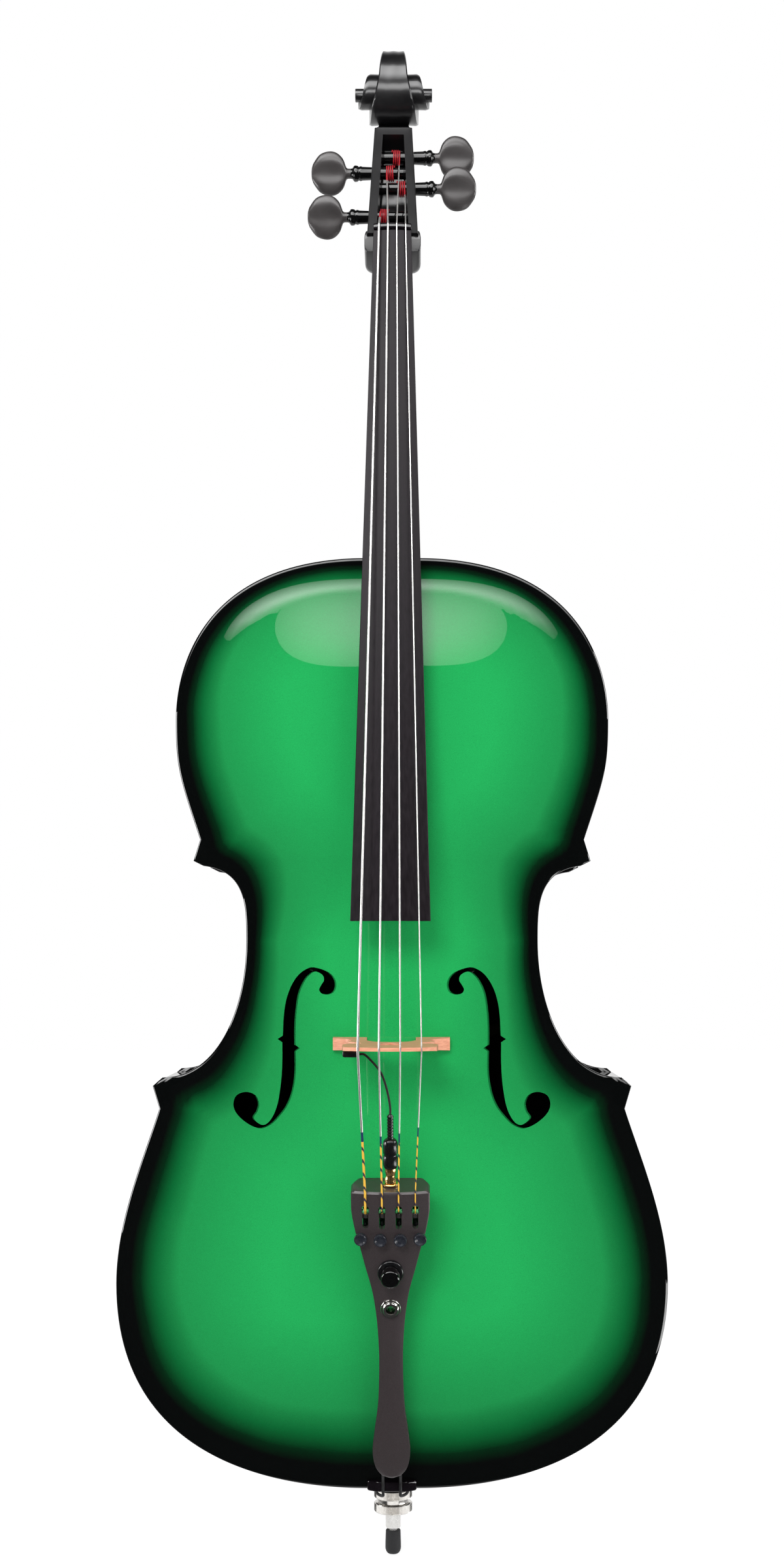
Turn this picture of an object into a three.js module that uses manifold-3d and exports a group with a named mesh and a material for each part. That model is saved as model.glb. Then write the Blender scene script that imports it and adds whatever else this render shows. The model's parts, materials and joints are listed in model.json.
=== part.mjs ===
// A full-size electric cello: arched hollow body, carved head, and a moulded tailpiece that holds
// fine tuners, a volume knob and two jacks. Millimetres, +Z up, the strings face -Y.
// The origin is the centre of the endpin's rubber tip, and the body's lowest edge is at bodyBottom.

import * as THREE from "three";
import { mergeVertices } from "three/addons/utils/BufferGeometryUtils.js";
import Module from "manifold-3d";

const wasm = await Module();
wasm.setup();

// Clearances
const seatGap = 0.3;
const turnGap = 0.4;
const cutOverrun = 2;

// Body: its widths, and the stretches that follow one another up its length
const lowerBout = 448;
const waist = 236.6;
const upperBout = 351;
const lowerCornerInset = 59.4;
const upperCornerInset = 28.6;
const baseLength = 166;
const hipLength = 160.4;
const lowerWaistLength = 117.6;
const upperWaistLength = 65;
const armLength = 115;
const shoulderLength = 131;
const endFlat = 40;
const plateThickness = 4.5;
const edgeRound = 1.2;
const edgeLand = 5;
const channelReach = 13;
const channelDepth = 0.8;
const topRise = 25;
const backRise = 24;
const ribHeight = 116;
const plateOverhang = 3.5;
const ribThickness = 1.8;
const liningDepth = 4;
const liningHeight = 15;
const buttonRadius = 14;

// Blocks, bass bar and sound post
const endBlockWidth = 130;
const neckBlockWidth = 120;
const blockDepth = 36;
const cornerBlockReach = 34;
const barLowReach = 46;
const barHighReach = 77;
const barHeight = 24;
const barWidth = 11;
const barFoot = 8;
const barOffset = 30;
const barSlant = 8;
const postDiameter = 11;
const postOffset = 30;
const postDrop = 18;

// Neck and fingerboard
const neckLength = 273;
const boardLength = 569;
const stringAction = 9.13;
const boardLift = 32;
const boardNutWidth = 31;
const boardEndWidth = 62;
const boardRadius = 66;
const boardEdge = 6;
const boardHollow = 5;
const boardBevelShare = 0.45;
const neckDepth = 24;
const neckTaper = 6;
const neckRootWidth = 36;
const tenonDepth = 14;
const heelCurve = 62;
const nutThickness = 6;
const nutRise = 1.4;

// Head
const headLean = 24;
const pegboxWidth = 42;
const pegboxThroatWidth = 32;
const pegboxDepth = 44;
const pegboxThroatDepth = 24;
const pegboxWall = 7.5;
const pegboxFloor = 8;
const pegboxLength = 118;
const chinWidth = 46.7;
const chinDrop = 27;
const chinBevel = 3;
const chinSetback = 4;
const chinDepth = 36;
const throatLength = 14;
const throatSetback = 12;
const scrollReach = 158;
const scrollRadius = 38;
const scrollShrinkShare = 0.484;
const scrollTopWidth = 20.8;
const scrollTongueWidth = 43;
const scrollTurnWidth = 61;
const scrollEyeWidth = 66;
const scrollEyeRadius = 5.5;

// Pegs, in the order of their strings from the player's lowest: their places along the head
const pegPlaceShares = [0.246, 0.661, 0.81, 0.513];
const pegSides = [-1, -1, 1, 1];
const pegDepth = 12;
const pegDiameter = 10.4;
const pegTaper = 1.4;
const pegShow = 16;
const pegNeckLength = 6;
const pegHeadLength = 29.5;
const pegHeadHeight = 35;
const pegHeadThickness = 12;
const pegCollarDiameter = 13.2;

// Strings, lowest first
const stringDiameters = [1.9, 1.5, 1.2, 1.0];
const nutSpacing = 7.25;
const bridgeSpacing = 16;
const windingDiameter = 1.1;
const windingPitch = 1.6;
const windingLoops = 4;

// Bridge, pickup and lead
const bridgeAboveCorner = 35.6;
const bridgeCrown = 115;
const bridgeFootSpan = 93;
const bridgeFootLength = 27;
const bridgeFootDepth = 12;
const bridgeCrownDepth = 2.8;
const bridgeCrownSpan = 71;
const bridgeCrownRadius = 62;
const pickupLength = 12.4;
const pickupHeight = 7;
const pickupDepth = 4.6;
const leadDiameter = 1.8;

// Tailpiece
const tailAngle = 15;
const tailHeadHeight = 252;
const tailHeadLift = 85;
const tailLength = 245;
const tailWidth = 60.6;
const tailDepth = 29;
const tailWall = 3.2;
const tailCavityLength = 112;
const tailCrown = 3.5;
const slotSpacing = 12.8;
const slotWidth = 5.6;
const slotStart = 11;
const slotLength = 19;
const tunerReach = 36;
const tunerSplay = 9;
const tunerHeadDiameter = 10;
const tunerHeadHeight = 5.2;
const tunerStem = 4;
const tunerScrewDiameter = 3.4;
const leverWidth = 4.4;
const leverPivotReach = 21;
const leverPivotDepth = 14;
const leverThickness = 4;
const axleDiameter = 2.4;
const knobReach = 65;
const bushingDiameter = 20;
const bushingHeight = 4;
const knobDiameter = 14.6;
const knobHeight = 13;
const potDiameter = 16;
const potDepth = 9;
const outputReach = 96;
const outputNutDiameter = 15.8;
const outputBore = 6.8;
const outputBarrel = 10.4;
const inputDepth = 13;
const inputDiameter = 13;
const inputBarrel = 9;
const inputReach = 12;
const inputFlange = 2;
const pinDiameter = 3.5;
const pinLength = 9;
const barrelDiameter = 9;
const barrelLength = 12;
const plugDiameter = 11.6;
const plugLength = 23;
const reliefDiameter = 5;
const reliefLength = 20;
const gutDiameter = 2.4;
const gutSpacing = 14;
const gutSeat = 8;
const gutDepth = 5;
const saddleWidth = 40;
const saddleDepth = 8;
const saddleRise = 9;
const plugNeckDiameter = 26;
const plugNeckShow = 9;

// Endpin
const plugShow = 16;
const plugTopDiameter = 27;
const plugFlangeDiameter = 34;
const plugInnerLength = 44;
const collarDiameter = 31.9;
const collarRing = 8.2;
const collarGroove = 3.2;
const rodDiameter = 12.6;
const rodShow = 15.4;
const rodLength = 430;
const rodNeckDiameter = 8;
const tipDiameter = 13.2;
const tipLength = 19.8;

// Corners of the body: how far the tip stands past the edge beside it, and how blunt it is
const cornerFlare = 5.4;
const lowerCornerRun = 18.4;
const upperCornerRun = 17.3;
const cornerRoot = 8;
const cornerBlunt = 7;
const upperCornerBlunt = 4;

// F-holes
const fHoleOffset = 82.2;
const fHoleHalf = 66;
const fUpperEye = 6.3;
const fLowerEye = 9.4;
const fStemWidth = 10.2;
const fNick = 1.5;

// Counts of faces
const turnSides = 14;
const stringSides = 6;
const loopSteps = 12;
const pegFaces = 10;
const knobSides = 20;

const radians = Math.PI / 180;

// Heights, depths and places that follow from the sizes above
const lowerBoutHeight = baseLength;
const lowerCornerHeight = lowerBoutHeight + hipLength;
const waistHeight = lowerCornerHeight + lowerWaistLength;
const upperCornerHeight = waistHeight + upperWaistLength;
const upperBoutHeight = upperCornerHeight + armLength;
const bodyLength = upperBoutHeight + shoulderLength;
const bridgeHeight = lowerCornerHeight + bridgeAboveCorner;
const lowerCornerSpan = lowerBout - lowerCornerInset;
const upperCornerSpan = upperBout - upperCornerInset;
const halfRib = ribHeight / 2;
const frontEdge = -(halfRib + plateThickness);
const collarHeight = 2 * collarRing + collarGroove;
const bodyBottom = tipLength + rodShow + collarHeight + plugShow + 3 * seatGap;
const nutHeight = bodyBottom + bodyLength + neckLength;
const boardRoot = frontEdge - boardLift;
const bridgePlace = bodyBottom + bridgeHeight;
const crownFront = frontEdge - bridgeCrown;
const pegReaches = pegPlaceShares.map((share) => share * pegboxLength);

const vec = (x, y, z) => new THREE.Vector3(x, y, z);
const flat = (x, y) => new THREE.Vector2(x, y);
const lerp = THREE.MathUtils.lerp;

// A geometry as one closed solid: shared points merged, faces of no area dropped, faces turned outward.
function solidOf(geometry) {
  const bare = geometry.clone();
  for (const name of Object.keys(bare.attributes)) {
    if (name !== "position") bare.deleteAttribute(name);
  }
  const weld = 1e-4;
  const merged = mergeVertices(bare, weld);
  const index = merged.index.array;
  const point = merged.attributes.position;
  const kept = [];
  let volume = 0;
  const [a, b, c] = [vec(0, 0, 0), vec(0, 0, 0), vec(0, 0, 0)];
  for (let i = 0; i < index.length; i += 3) {
    const [p, q, r] = [index[i], index[i + 1], index[i + 2]];
    if (p === q || q === r || r === p) continue;
    a.fromBufferAttribute(point, p);
    b.fromBufferAttribute(point, q);
    c.fromBufferAttribute(point, r);
    volume += a.dot(b.clone().cross(c));
    kept.push(p, q, r);
  }
  if (volume < 0) kept.reverse();
  return new wasm.Manifold(
    new wasm.Mesh({
      numProp: 3,
      vertProperties: new Float32Array(point.array),
      triVerts: new Uint32Array(kept),
    }),
  );
}

function geometryOf(solid) {
  const mesh = solid.getMesh();
  const geometry = new THREE.BufferGeometry();
  geometry.setAttribute("position", new THREE.BufferAttribute(new Float32Array(mesh.vertProperties), 3));
  geometry.setIndex(new THREE.BufferAttribute(new Uint32Array(mesh.triVerts), 1));
  geometry.computeVertexNormals();
  return geometry;
}

function join(first, ...others) {
  const joined = others.reduce((whole, piece) => whole.add(solidOf(piece)), solidOf(first));
  return geometryOf(joined);
}

function cut(first, ...others) {
  const left = others.reduce((whole, piece) => whole.subtract(solidOf(piece)), solidOf(first));
  return geometryOf(left);
}

// Rings of equal count joined into a closed solid. The ends are filled after the flat outline each ring has.
function loft(rings, outline) {
  const count = rings[0].length;
  const positions = rings.flat().flatMap((p) => [p.x, p.y, p.z]);
  const faces = [];
  for (let i = 0; i + 1 < rings.length; i += 1) {
    for (let j = 0; j < count; j += 1) {
      const next = (j + 1) % count;
      const [a, b] = [i * count + j, i * count + next];
      const [c, d] = [a + count, b + count];
      faces.push(a, b, d, a, d, c);
    }
  }
  const last = (rings.length - 1) * count;
  const firstCap = THREE.ShapeUtils.triangulateShape(outline ? outline(rings[0]) : evenRing(count), []);
  const lastCap = THREE.ShapeUtils.triangulateShape(
    outline ? outline(rings[rings.length - 1]) : evenRing(count),
    [],
  );
  firstCap.forEach(([a, b, c]) => faces.push(c, b, a));
  lastCap.forEach(([a, b, c]) => faces.push(last + a, last + b, last + c));
  const geometry = new THREE.BufferGeometry();
  geometry.setAttribute("position", new THREE.Float32BufferAttribute(positions, 3));
  geometry.setIndex(faces);
  return geometryOf(solidOf(geometry));
}

// A regular outline that stands for any convex ring of so many points.
function evenRing(count) {
  return Array.from({ length: count }, (_, j) => {
    const turn = (2 * Math.PI * j) / count;
    return flat(Math.cos(turn), Math.sin(turn));
  });
}

const seenAlongZ = (ring) => ring.map((p) => flat(p.x, p.y));

// A profile of [radius, height] pairs turned about the Y axis.
function turned(profile, sides = turnSides) {
  const points = profile.map(([radius, height]) => flat(radius, height));
  return geometryOf(solidOf(new THREE.LatheGeometry(points, sides)));
}

// A profile turned about the Z axis, heights upward.
function turnedUpright(profile, sides = turnSides) {
  return turned(profile, sides).rotateX(Math.PI / 2);
}

function box(width, depth, height, x, y, z) {
  return new THREE.BoxGeometry(width, depth, height).translate(x, y, z);
}

// A round rod along X, about the point (x, y, z).
function crossRod(radius, length, x, y, z, sides = turnSides) {
  return new THREE.CylinderGeometry(radius, radius, length, sides).rotateZ(Math.PI / 2).translate(x, y, z);
}

// A round tube through points, with flat ends square to its run.
function tube(points, radii, sides) {
  const rings = points.map((point, i) => {
    const before = points[Math.max(i - 1, 0)];
    const after = points[Math.min(i + 1, points.length - 1)];
    const into = point.clone().sub(before).normalize();
    const out = after.clone().sub(point).normalize();
    const along = into.add(out).normalize();
    return { point, along, radius: radii[i] ?? radii[radii.length - 1] };
  });
  const across = Math.abs(rings[0].along.x) < 0.9 ? vec(1, 0, 0) : vec(0, 1, 0);
  return loft(
    rings.map(({ point, along, radius }) => {
      const side = across.sub(along.clone().multiplyScalar(across.dot(along))).normalize().clone();
      const up = along.clone().cross(side);
      return Array.from({ length: sides }, (_, j) => {
        const turn = (2 * Math.PI * j) / sides;
        return point
          .clone()
          .addScaledVector(side, radius * Math.cos(turn))
          .addScaledVector(up, radius * Math.sin(turn));
      });
    }),
  );
}

function mirrored(points, side) {
  return points.map((p) => flat(side * p.x, p.y));
}

function cubic(a, b, c, d, steps) {
  return new THREE.CubicBezierCurve(a, b, c, d).getPoints(steps);
}

// An outline in the XZ plane, drawn as [x, height], made solid between two depths.
function slab(points, near, far) {
  const shape = new THREE.Shape(points);
  const geometry = new THREE.ExtrudeGeometry(shape, { depth: far - near, bevelEnabled: false });
  return geometryOf(solidOf(geometry.rotateX(Math.PI / 2).translate(0, far, 0)));
}

// The right half of the body's outline as [half width, height above its lowest edge], in stretches
// that meet at the two corners. The numbers in a pull are how far each curve holds its end's direction.
function bodyOutline() {
  const [low, mid, high] = [lowerBout / 2, waist / 2, upperBout / 2];
  const lowTip = flat(lowerCornerSpan / 2, lowerCornerHeight);
  const highTip = flat(upperCornerSpan / 2, upperCornerHeight);
  const lowNeck = flat(lowTip.x - cornerFlare, lowTip.y - lowerCornerRun);
  const lowRoot = flat(lowTip.x - cornerRoot, lowTip.y + cornerBlunt);
  const highRoot = flat(highTip.x - cornerRoot, highTip.y - upperCornerBlunt);
  const highNeck = flat(highTip.x - cornerFlare, highTip.y + upperCornerRun);
  const pullShares = {
    base: 0.33,
    side: 0.93,
    hip: 0.36,
    hipIn: 0.72,
    root: 0.68,
    waist: 0.47,
    arm: 0.4,
    top: 0.88,
  };
  const bottom = [
    ...cubic(
      flat(endFlat / 2, 0),
      flat(lerp(0, low, pullShares.base), 0),
      flat(low, lowerBoutHeight * (1 - pullShares.side)),
      flat(low, lowerBoutHeight),
      8,
    ),
    ...cubic(
      flat(low, lowerBoutHeight),
      flat(low, lerp(lowerBoutHeight, lowNeck.y, pullShares.hip)),
      flat(lerp(low, lowNeck.x, 1 - pullShares.hip), lerp(lowerBoutHeight, lowNeck.y, pullShares.hipIn)),
      lowNeck,
      4,
    ).slice(1),
  ];
  const middle = [
    ...cubic(
      lowRoot,
      flat(lerp(lowRoot.x, mid, pullShares.root), lowRoot.y),
      flat(mid, lerp(lowRoot.y, waistHeight, 1 - pullShares.waist)),
      flat(mid, waistHeight),
      6,
    ),
    ...cubic(
      flat(mid, waistHeight),
      flat(mid, lerp(waistHeight, highRoot.y, pullShares.waist)),
      flat(mid, lerp(waistHeight, highRoot.y, pullShares.side)),
      highRoot,
      5,
    ).slice(1),
  ];
  const top = [
    ...cubic(
      highNeck,
      flat(lerp(highNeck.x, high, pullShares.top), lerp(highNeck.y, upperBoutHeight, 1 - pullShares.waist)),
      flat(high, lerp(highNeck.y, upperBoutHeight, 1 - pullShares.arm)),
      flat(high, upperBoutHeight),
      3,
    ),
    ...cubic(
      flat(high, upperBoutHeight),
      flat(high, lerp(upperBoutHeight, bodyLength, 1 - pullShares.root)),
      flat(high * pullShares.top, bodyLength),
      flat(endFlat / 2, bodyLength),
      8,
    ).slice(1),
  ];
  return { bottom, lowTip, middle, highTip, top, lowRoot, highRoot };
}

const outline = bodyOutline();
const plateRows = [
  ...outline.bottom,
  outline.lowTip,
  ...outline.middle,
  outline.highTip,
  ...outline.top,
];

// Bell curve from 1 in the middle to 0 at the rim, fuller with a higher power.
function bell(share, power) {
  const run = Math.min(1, Math.abs(share)) ** power;
  return (1 + Math.cos(Math.PI * run)) / 2;
}

// Half the width that the arching fills at a height: the bouts and the waist without the corners.
function archReach(height) {
  const stations = [0, lowerBoutHeight, waistHeight, upperBoutHeight, bodyLength];
  const reaches = [lowerBout / 2, lowerBout / 2, waist / 2, upperBout / 2, upperBout / 2];
  const at = Math.min(Math.max(height, 0), bodyLength);
  const i = Math.min(stations.findIndex((station, k) => k > 0 && at <= station), stations.length - 1) - 1;
  const share = (at - stations[i]) / (stations[i + 1] - stations[i]);
  const eased = (1 - Math.cos(Math.PI * share)) / 2;
  return lerp(reaches[i], reaches[i + 1], eased) - edgeLand;
}

// How far a plate's arching stands out at a place.
function archHeight(x, height, rise) {
  const fullness = { along: 2.8, across: 1.8 };
  const along = bell((2 * height) / bodyLength - 1, fullness.along);
  return rise * along * bell(x / archReach(height), fullness.across);
}

// How far the worked edge stands above the plain surface: rounded rim, crest, then a shallow channel.
function edgeWork(distance) {
  if (distance < edgeLand) return -edgeRound * (1 - distance / edgeLand);
  if (distance < channelReach) {
    return (-channelDepth * (distance - edgeLand)) / (channelReach - edgeLand);
  }
  return -channelDepth * Math.max(0, 2 - distance / channelReach);
}

// An arched plate from rows of [half width, height]. The side is -1 for the front and 1 for the back.
function archedPlate(rows, rise, side) {
  const innerShares = [0.7, 0.36, 0];
  const highest = rows[rows.length - 1].y;
  const outer = [];
  const inner = [];
  for (const row of rows) {
    const reach = row.x - channelReach > 0 ? channelReach : row.x / 2;
    const half = [row.x, row.x - Math.min(edgeLand, reach / 2)];
    innerShares.forEach((share) => half.push((row.x - reach) * share));
    half.splice(2, 0, row.x - reach);
    const across = [...half.map((x) => -x), ...half.slice(0, -1).reverse()];
    const outerRow = [];
    const innerRow = [];
    for (const x of across) {
      const fromEdge = row.x - Math.abs(x);
      const distance = Math.min(fromEdge, row.y, highest - row.y);
      const arch = distance < channelReach ? 0 : archHeight(x, row.y, rise);
      const work = edgeWork(distance);
      outerRow.push(vec(x, side * (halfRib + plateThickness + arch + work), bodyBottom + row.y));
      innerRow.push(vec(x, side * (halfRib + arch), bodyBottom + row.y));
    }
    outer.push(outerRow);
    inner.push(innerRow);
  }
  return sheet(outer, inner);
}

// Two grids of like shape made into one solid, joined along their rims.
function sheet(outer, inner) {
  const [rows, columns] = [outer.length, outer[0].length];
  const positions = [...outer.flat(), ...inner.flat()].flatMap((p) => [p.x, p.y, p.z]);
  const under = rows * columns;
  const faces = [];
  const quad = (a, b, c, d) => faces.push(a, b, c, a, c, d);
  for (let i = 0; i + 1 < rows; i += 1) {
    for (let j = 0; j + 1 < columns; j += 1) {
      const a = i * columns + j;
      quad(a, a + 1, a + 1 + columns, a + columns);
      quad(under + a, under + a + columns, under + a + columns + 1, under + a + 1);
    }
    const [left, right] = [i * columns, i * columns + columns - 1];
    quad(left, left + columns, under + left + columns, under + left);
    quad(right, under + right, under + right + columns, right + columns);
  }
  const last = (rows - 1) * columns;
  for (let j = 0; j + 1 < columns; j += 1) {
    quad(j, under + j, under + j + 1, j + 1);
    quad(last + j, last + j + 1, under + last + j + 1, under + last + j);
  }
  const geometry = new THREE.BufferGeometry();
  geometry.setAttribute("position", new THREE.Float32BufferAttribute(positions, 3));
  geometry.setIndex(faces);
  return geometryOf(solidOf(geometry));
}

// One f-hole as solids to cut away: a bent stem, an eye at each end and a nick on each side of its middle.
function fHole(side) {
  const centre = flat(-fHoleOffset, bridgePlace);
  const spineShares = [
    [0.43, 0.86],
    [0.3, 0.925],
    [0.125, 0.77],
    [0.04, 0.515],
    [0.005, 0.23],
    [0, 0],
    [-0.02, -0.35],
    [-0.065, -0.61],
    [-0.135, -0.8],
    [-0.245, -0.95],
    [-0.36, -0.98],
    [-0.45, -0.9],
  ];
  const widthShares = [0.3, 0.3, 0.55, 0.85, 0.95, 1, 0.9, 0.75, 0.55, 0.36, 0.3, 0.3];
  const spine = spineShares.map(([x, y]) => flat(centre.x + x * fHoleHalf, centre.y + y * fHoleHalf));
  const edges = [[], []];
  spine.forEach((point, i) => {
    const before = spine[Math.max(i - 1, 0)];
    const after = spine[Math.min(i + 1, spine.length - 1)];
    const along = after.clone().sub(before).normalize();
    const reach = (widthShares[i] * fStemWidth) / 2;
    edges[0].push(flat(point.x - along.y * reach, point.y + along.x * reach));
    edges[1].push(flat(point.x + along.y * reach, point.y - along.x * reach));
  });
  const stem = [...edges[0], ...edges[1].reverse()];
  const eyeShares = { upper: [0.445, 0.712], lower: [-0.5, -0.706] };
  const eyeSides = 10;
  const eye = ([x, y], radius) =>
    evenRing(eyeSides).map((p) =>
      flat(centre.x + x * fHoleHalf + radius * p.x, centre.y + y * fHoleHalf + radius * p.y),
    );
  const nickReach = fStemWidth / 2 + fNick;
  const nick = [
    flat(centre.x - nickReach, centre.y),
    flat(centre.x, centre.y - fNick),
    flat(centre.x + nickReach, centre.y),
    flat(centre.x, centre.y + fNick),
  ];
  const front = frontEdge - topRise - cutOverrun;
  return [stem, eye(eyeShares.upper, fUpperEye), eye(eyeShares.lower, fLowerEye), nick].map((points) =>
    slab(mirrored(points, side), front, -halfRib + cutOverrun),
  );
}

// A line moved inward by a distance. Going up the right half of the outline, inward is to the left.
function inset(points, distance) {
  return points.map((point, i) => {
    const before = points[Math.max(i - 1, 0)];
    const after = points[Math.min(i + 1, points.length - 1)];
    const along = after.clone().sub(before).normalize();
    return flat(point.x - along.y * distance, point.y + along.x * distance);
  });
}

// The part of a line between two bounds on one of its axes, with new end points on the bounds.
function clipped(points, axis, least, most) {
  const kept = [];
  points.forEach((point, i) => {
    if (i > 0) {
      const before = points[i - 1];
      const crossings = [least, most]
        .map((bound) => (bound - before[axis]) / (point[axis] - before[axis]))
        .filter((share) => share > 0 && share < 1)
        .sort((a, b) => a - b);
      crossings.forEach((share) => kept.push(before.clone().lerp(point, share)));
    }
    if (point[axis] >= least && point[axis] <= most) kept.push(point.clone());
  });
  return kept;
}

// The three stretches of rib on the right side, as lines along their outer faces.
function ribLines() {
  const { bottom, lowTip, lowRoot, middle, highRoot, highTip, top } = outline;
  const lowJoint = lowRoot.y - plateOverhang - ribThickness - seatGap;
  const highJoint = highRoot.y + plateOverhang + 2 * ribThickness + seatGap;
  const nearEnd = seatGap / 2;
  const waistLine = [
    flat(lowTip.x - plateOverhang, lowRoot.y - plateOverhang),
    ...inset(middle, plateOverhang),
    flat(highTip.x - plateOverhang, highRoot.y + plateOverhang),
  ];
  const lowerFull = [flat(0, plateOverhang), ...inset([...bottom, lowTip], plateOverhang)];
  const upperFull = inset([highTip, ...top], plateOverhang);
  const lowerLine = clipped(clipped(lowerFull, "x", nearEnd, lowerBout), "y", -lowerBout, lowJoint);
  const upperBelow = clipped(upperFull, "y", highJoint, bodyLength);
  const upperLine = clipped(upperBelow, "x", neckRootWidth / 2 + seatGap, upperBout);
  return { lower: lowerLine, waist: waistLine, upper: upperLine };
}

// The corners of a line, and its marks, each with its inward direction and the length run so far.
// A mark below zero counts from the far end.
function walk(points, marks) {
  const lengths = [0];
  for (let i = 1; i < points.length; i += 1) {
    lengths.push(lengths[i - 1] + points[i].distanceTo(points[i - 1]));
  }
  const total = lengths[lengths.length - 1];
  const inward = points.map((point, i) => {
    const before = points[Math.max(i - 1, 0)];
    const after = points[Math.min(i + 1, points.length - 1)];
    const along = after.clone().sub(before).normalize();
    return flat(-along.y, along.x);
  });
  const ends = marks.map((mark) => (mark < 0 ? total + mark : mark));
  const isFree = (s) => s === 0 || s === total || ends.every((end) => Math.abs(end - s) > seatGap);
  return [...lengths.filter(isFree), ...ends]
    .sort((p, q) => p - q)
    .map((s) => {
      const i = Math.min(Math.max(1, lengths.findIndex((length) => length >= s)), points.length - 1);
      const share = (s - lengths[i - 1]) / (lengths[i] - lengths[i - 1]);
      const point = points[i - 1].clone().lerp(points[i], share);
      return { point, inward: inward[i - 1].clone().lerp(inward[i], share).normalize(), s, total };
    });
}

// A rib bent along a line, with a thicker lining at both edges except where it is glued to a block.
function rib(line, side, startBlock, endBlock) {
  const fade = ribThickness;
  const marks = [startBlock, startBlock + fade, -endBlock - fade, -endBlock];
  const height = halfRib - seatGap;
  const shoulder = height - liningHeight;
  const slope = liningDepth * 2;
  const rings = walk(line, marks).map(({ point, inward, s, total }) => {
    const lined = s > startBlock + fade / 2 && s < total - endBlock - fade / 2;
    const thick = ribThickness + (lined ? liningDepth : 0);
    const profile = [
      [0, -height],
      [thick, -height],
      [thick, -shoulder],
      [ribThickness, -shoulder + slope],
      [ribThickness, shoulder - slope],
      [thick, shoulder],
      [thick, height],
      [0, height],
    ];
    return profile.map(([deep, y]) =>
      vec(side * (point.x + inward.x * deep), y, bodyBottom + point.y + inward.y * deep),
    );
  });
  const depths = [0, 1, 1, 1, 1, 1, 1, 0].map((share) => share * ribThickness);
  const endOutline = () => rings[0].map((p, i) => flat(depths[i], p.y));
  return loft(rings, endOutline);
}

// A block that fills the space inside the ribs, from its outline in the XZ plane.
function block(points, side = 1) {
  const places = mirrored(points, side).map((p) => flat(p.x, bodyBottom + p.y));
  return slab(places, -halfRib + seatGap, halfRib - seatGap);
}

const lines = ribLines();
const blockInset = plateOverhang + ribThickness + seatGap;

function endBlockOutline() {
  const inner = clipped(inset([...outline.bottom], blockInset), "x", 0, endBlockWidth / 2);
  const across = [...inner].reverse().map((p) => flat(-p.x, p.y));
  return [...across, ...inner, flat(endBlockWidth / 2, blockDepth), flat(-endBlockWidth / 2, blockDepth)];
}

function neckBlockOutline() {
  const inner = clipped(inset([...outline.top], blockInset), "x", 0, neckBlockWidth / 2);
  const across = [...inner].reverse().map((p) => flat(-p.x, p.y));
  const depth = bodyLength - blockDepth;
  return [flat(-neckBlockWidth / 2, depth), flat(neckBlockWidth / 2, depth), ...inner, ...across];
}

// A corner block sits between the waist rib and the rib of a bout. The direction is -1 for the lower corner.
function cornerBlockOutline(direction) {
  const lowCorner = direction < 0;
  const tip = lowCorner ? outline.lowTip : outline.highTip;
  const root = lowCorner ? outline.lowRoot : outline.highRoot;
  const boutStretch = lowCorner ? [...outline.bottom, tip] : [tip, ...outline.top];
  const limit = root.y + direction * (blockInset + seatGap);
  const boutLine = inset(boutStretch, blockInset);
  const boutPart = lowCorner
    ? clipped(boutLine, "y", tip.y - cornerBlockReach, limit)
    : clipped(boutLine, "y", limit, tip.y + cornerBlockReach).reverse();
  const boutEnd = boutPart[boutPart.length - 1];
  const waistPart = clipped(
    inset(outline.middle, blockInset),
    "x",
    tip.x - cornerBlockReach,
    boutEnd.x - plateOverhang,
  ).filter((p) => (lowCorner ? p.y < waistHeight : p.y > waistHeight));
  if (!lowCorner) waistPart.reverse();
  return [...boutPart, ...waistPart];
}

const topPlateWhole = archedPlate(plateRows, topRise, -1);

// The back plate, with the half-round button that the neck's heel stands on.
function backPlate() {
  const neckIn = buttonRadius - endFlat / 2;
  const turns = [0, 0.25, 0.5, 0.75, 0.92];
  const button = turns.map((share) => {
    const turn = (share * Math.PI) / 2;
    return flat(buttonRadius * Math.cos(turn), bodyLength - neckIn + buttonRadius * Math.sin(turn));
  });
  return archedPlate([...plateRows, ...button], backRise, 1);
}

// The neck's tenon with clearance, as the space to cut from the body.
function tenonSpace() {
  const width = neckRootWidth + 2 * seatGap;
  const depth = ribHeight + 2 * topRise;
  const height = tenonDepth + seatGap + cutOverrun + buttonRadius;
  const centre = bodyBottom + bodyLength - tenonDepth - seatGap + height / 2;
  return box(width, depth, height, 0, halfRib - seatGap - depth / 2, centre);
}

// A round hole of the endpin plug's taper, wider by a clearance.
function plugTaper(clearance) {
  const start = bodyBottom + plateOverhang - cutOverrun;
  const wide = plugTopDiameter / 2 + clearance;
  const narrow = (plugTopDiameter / 2) * 0.85 + clearance;
  return turnedUpright([
    [0, start],
    [wide, start],
    [narrow, bodyBottom + plateOverhang + plugInnerLength + cutOverrun],
    [0, bodyBottom + plateOverhang + plugInnerLength + cutOverrun],
  ]);
}

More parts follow.
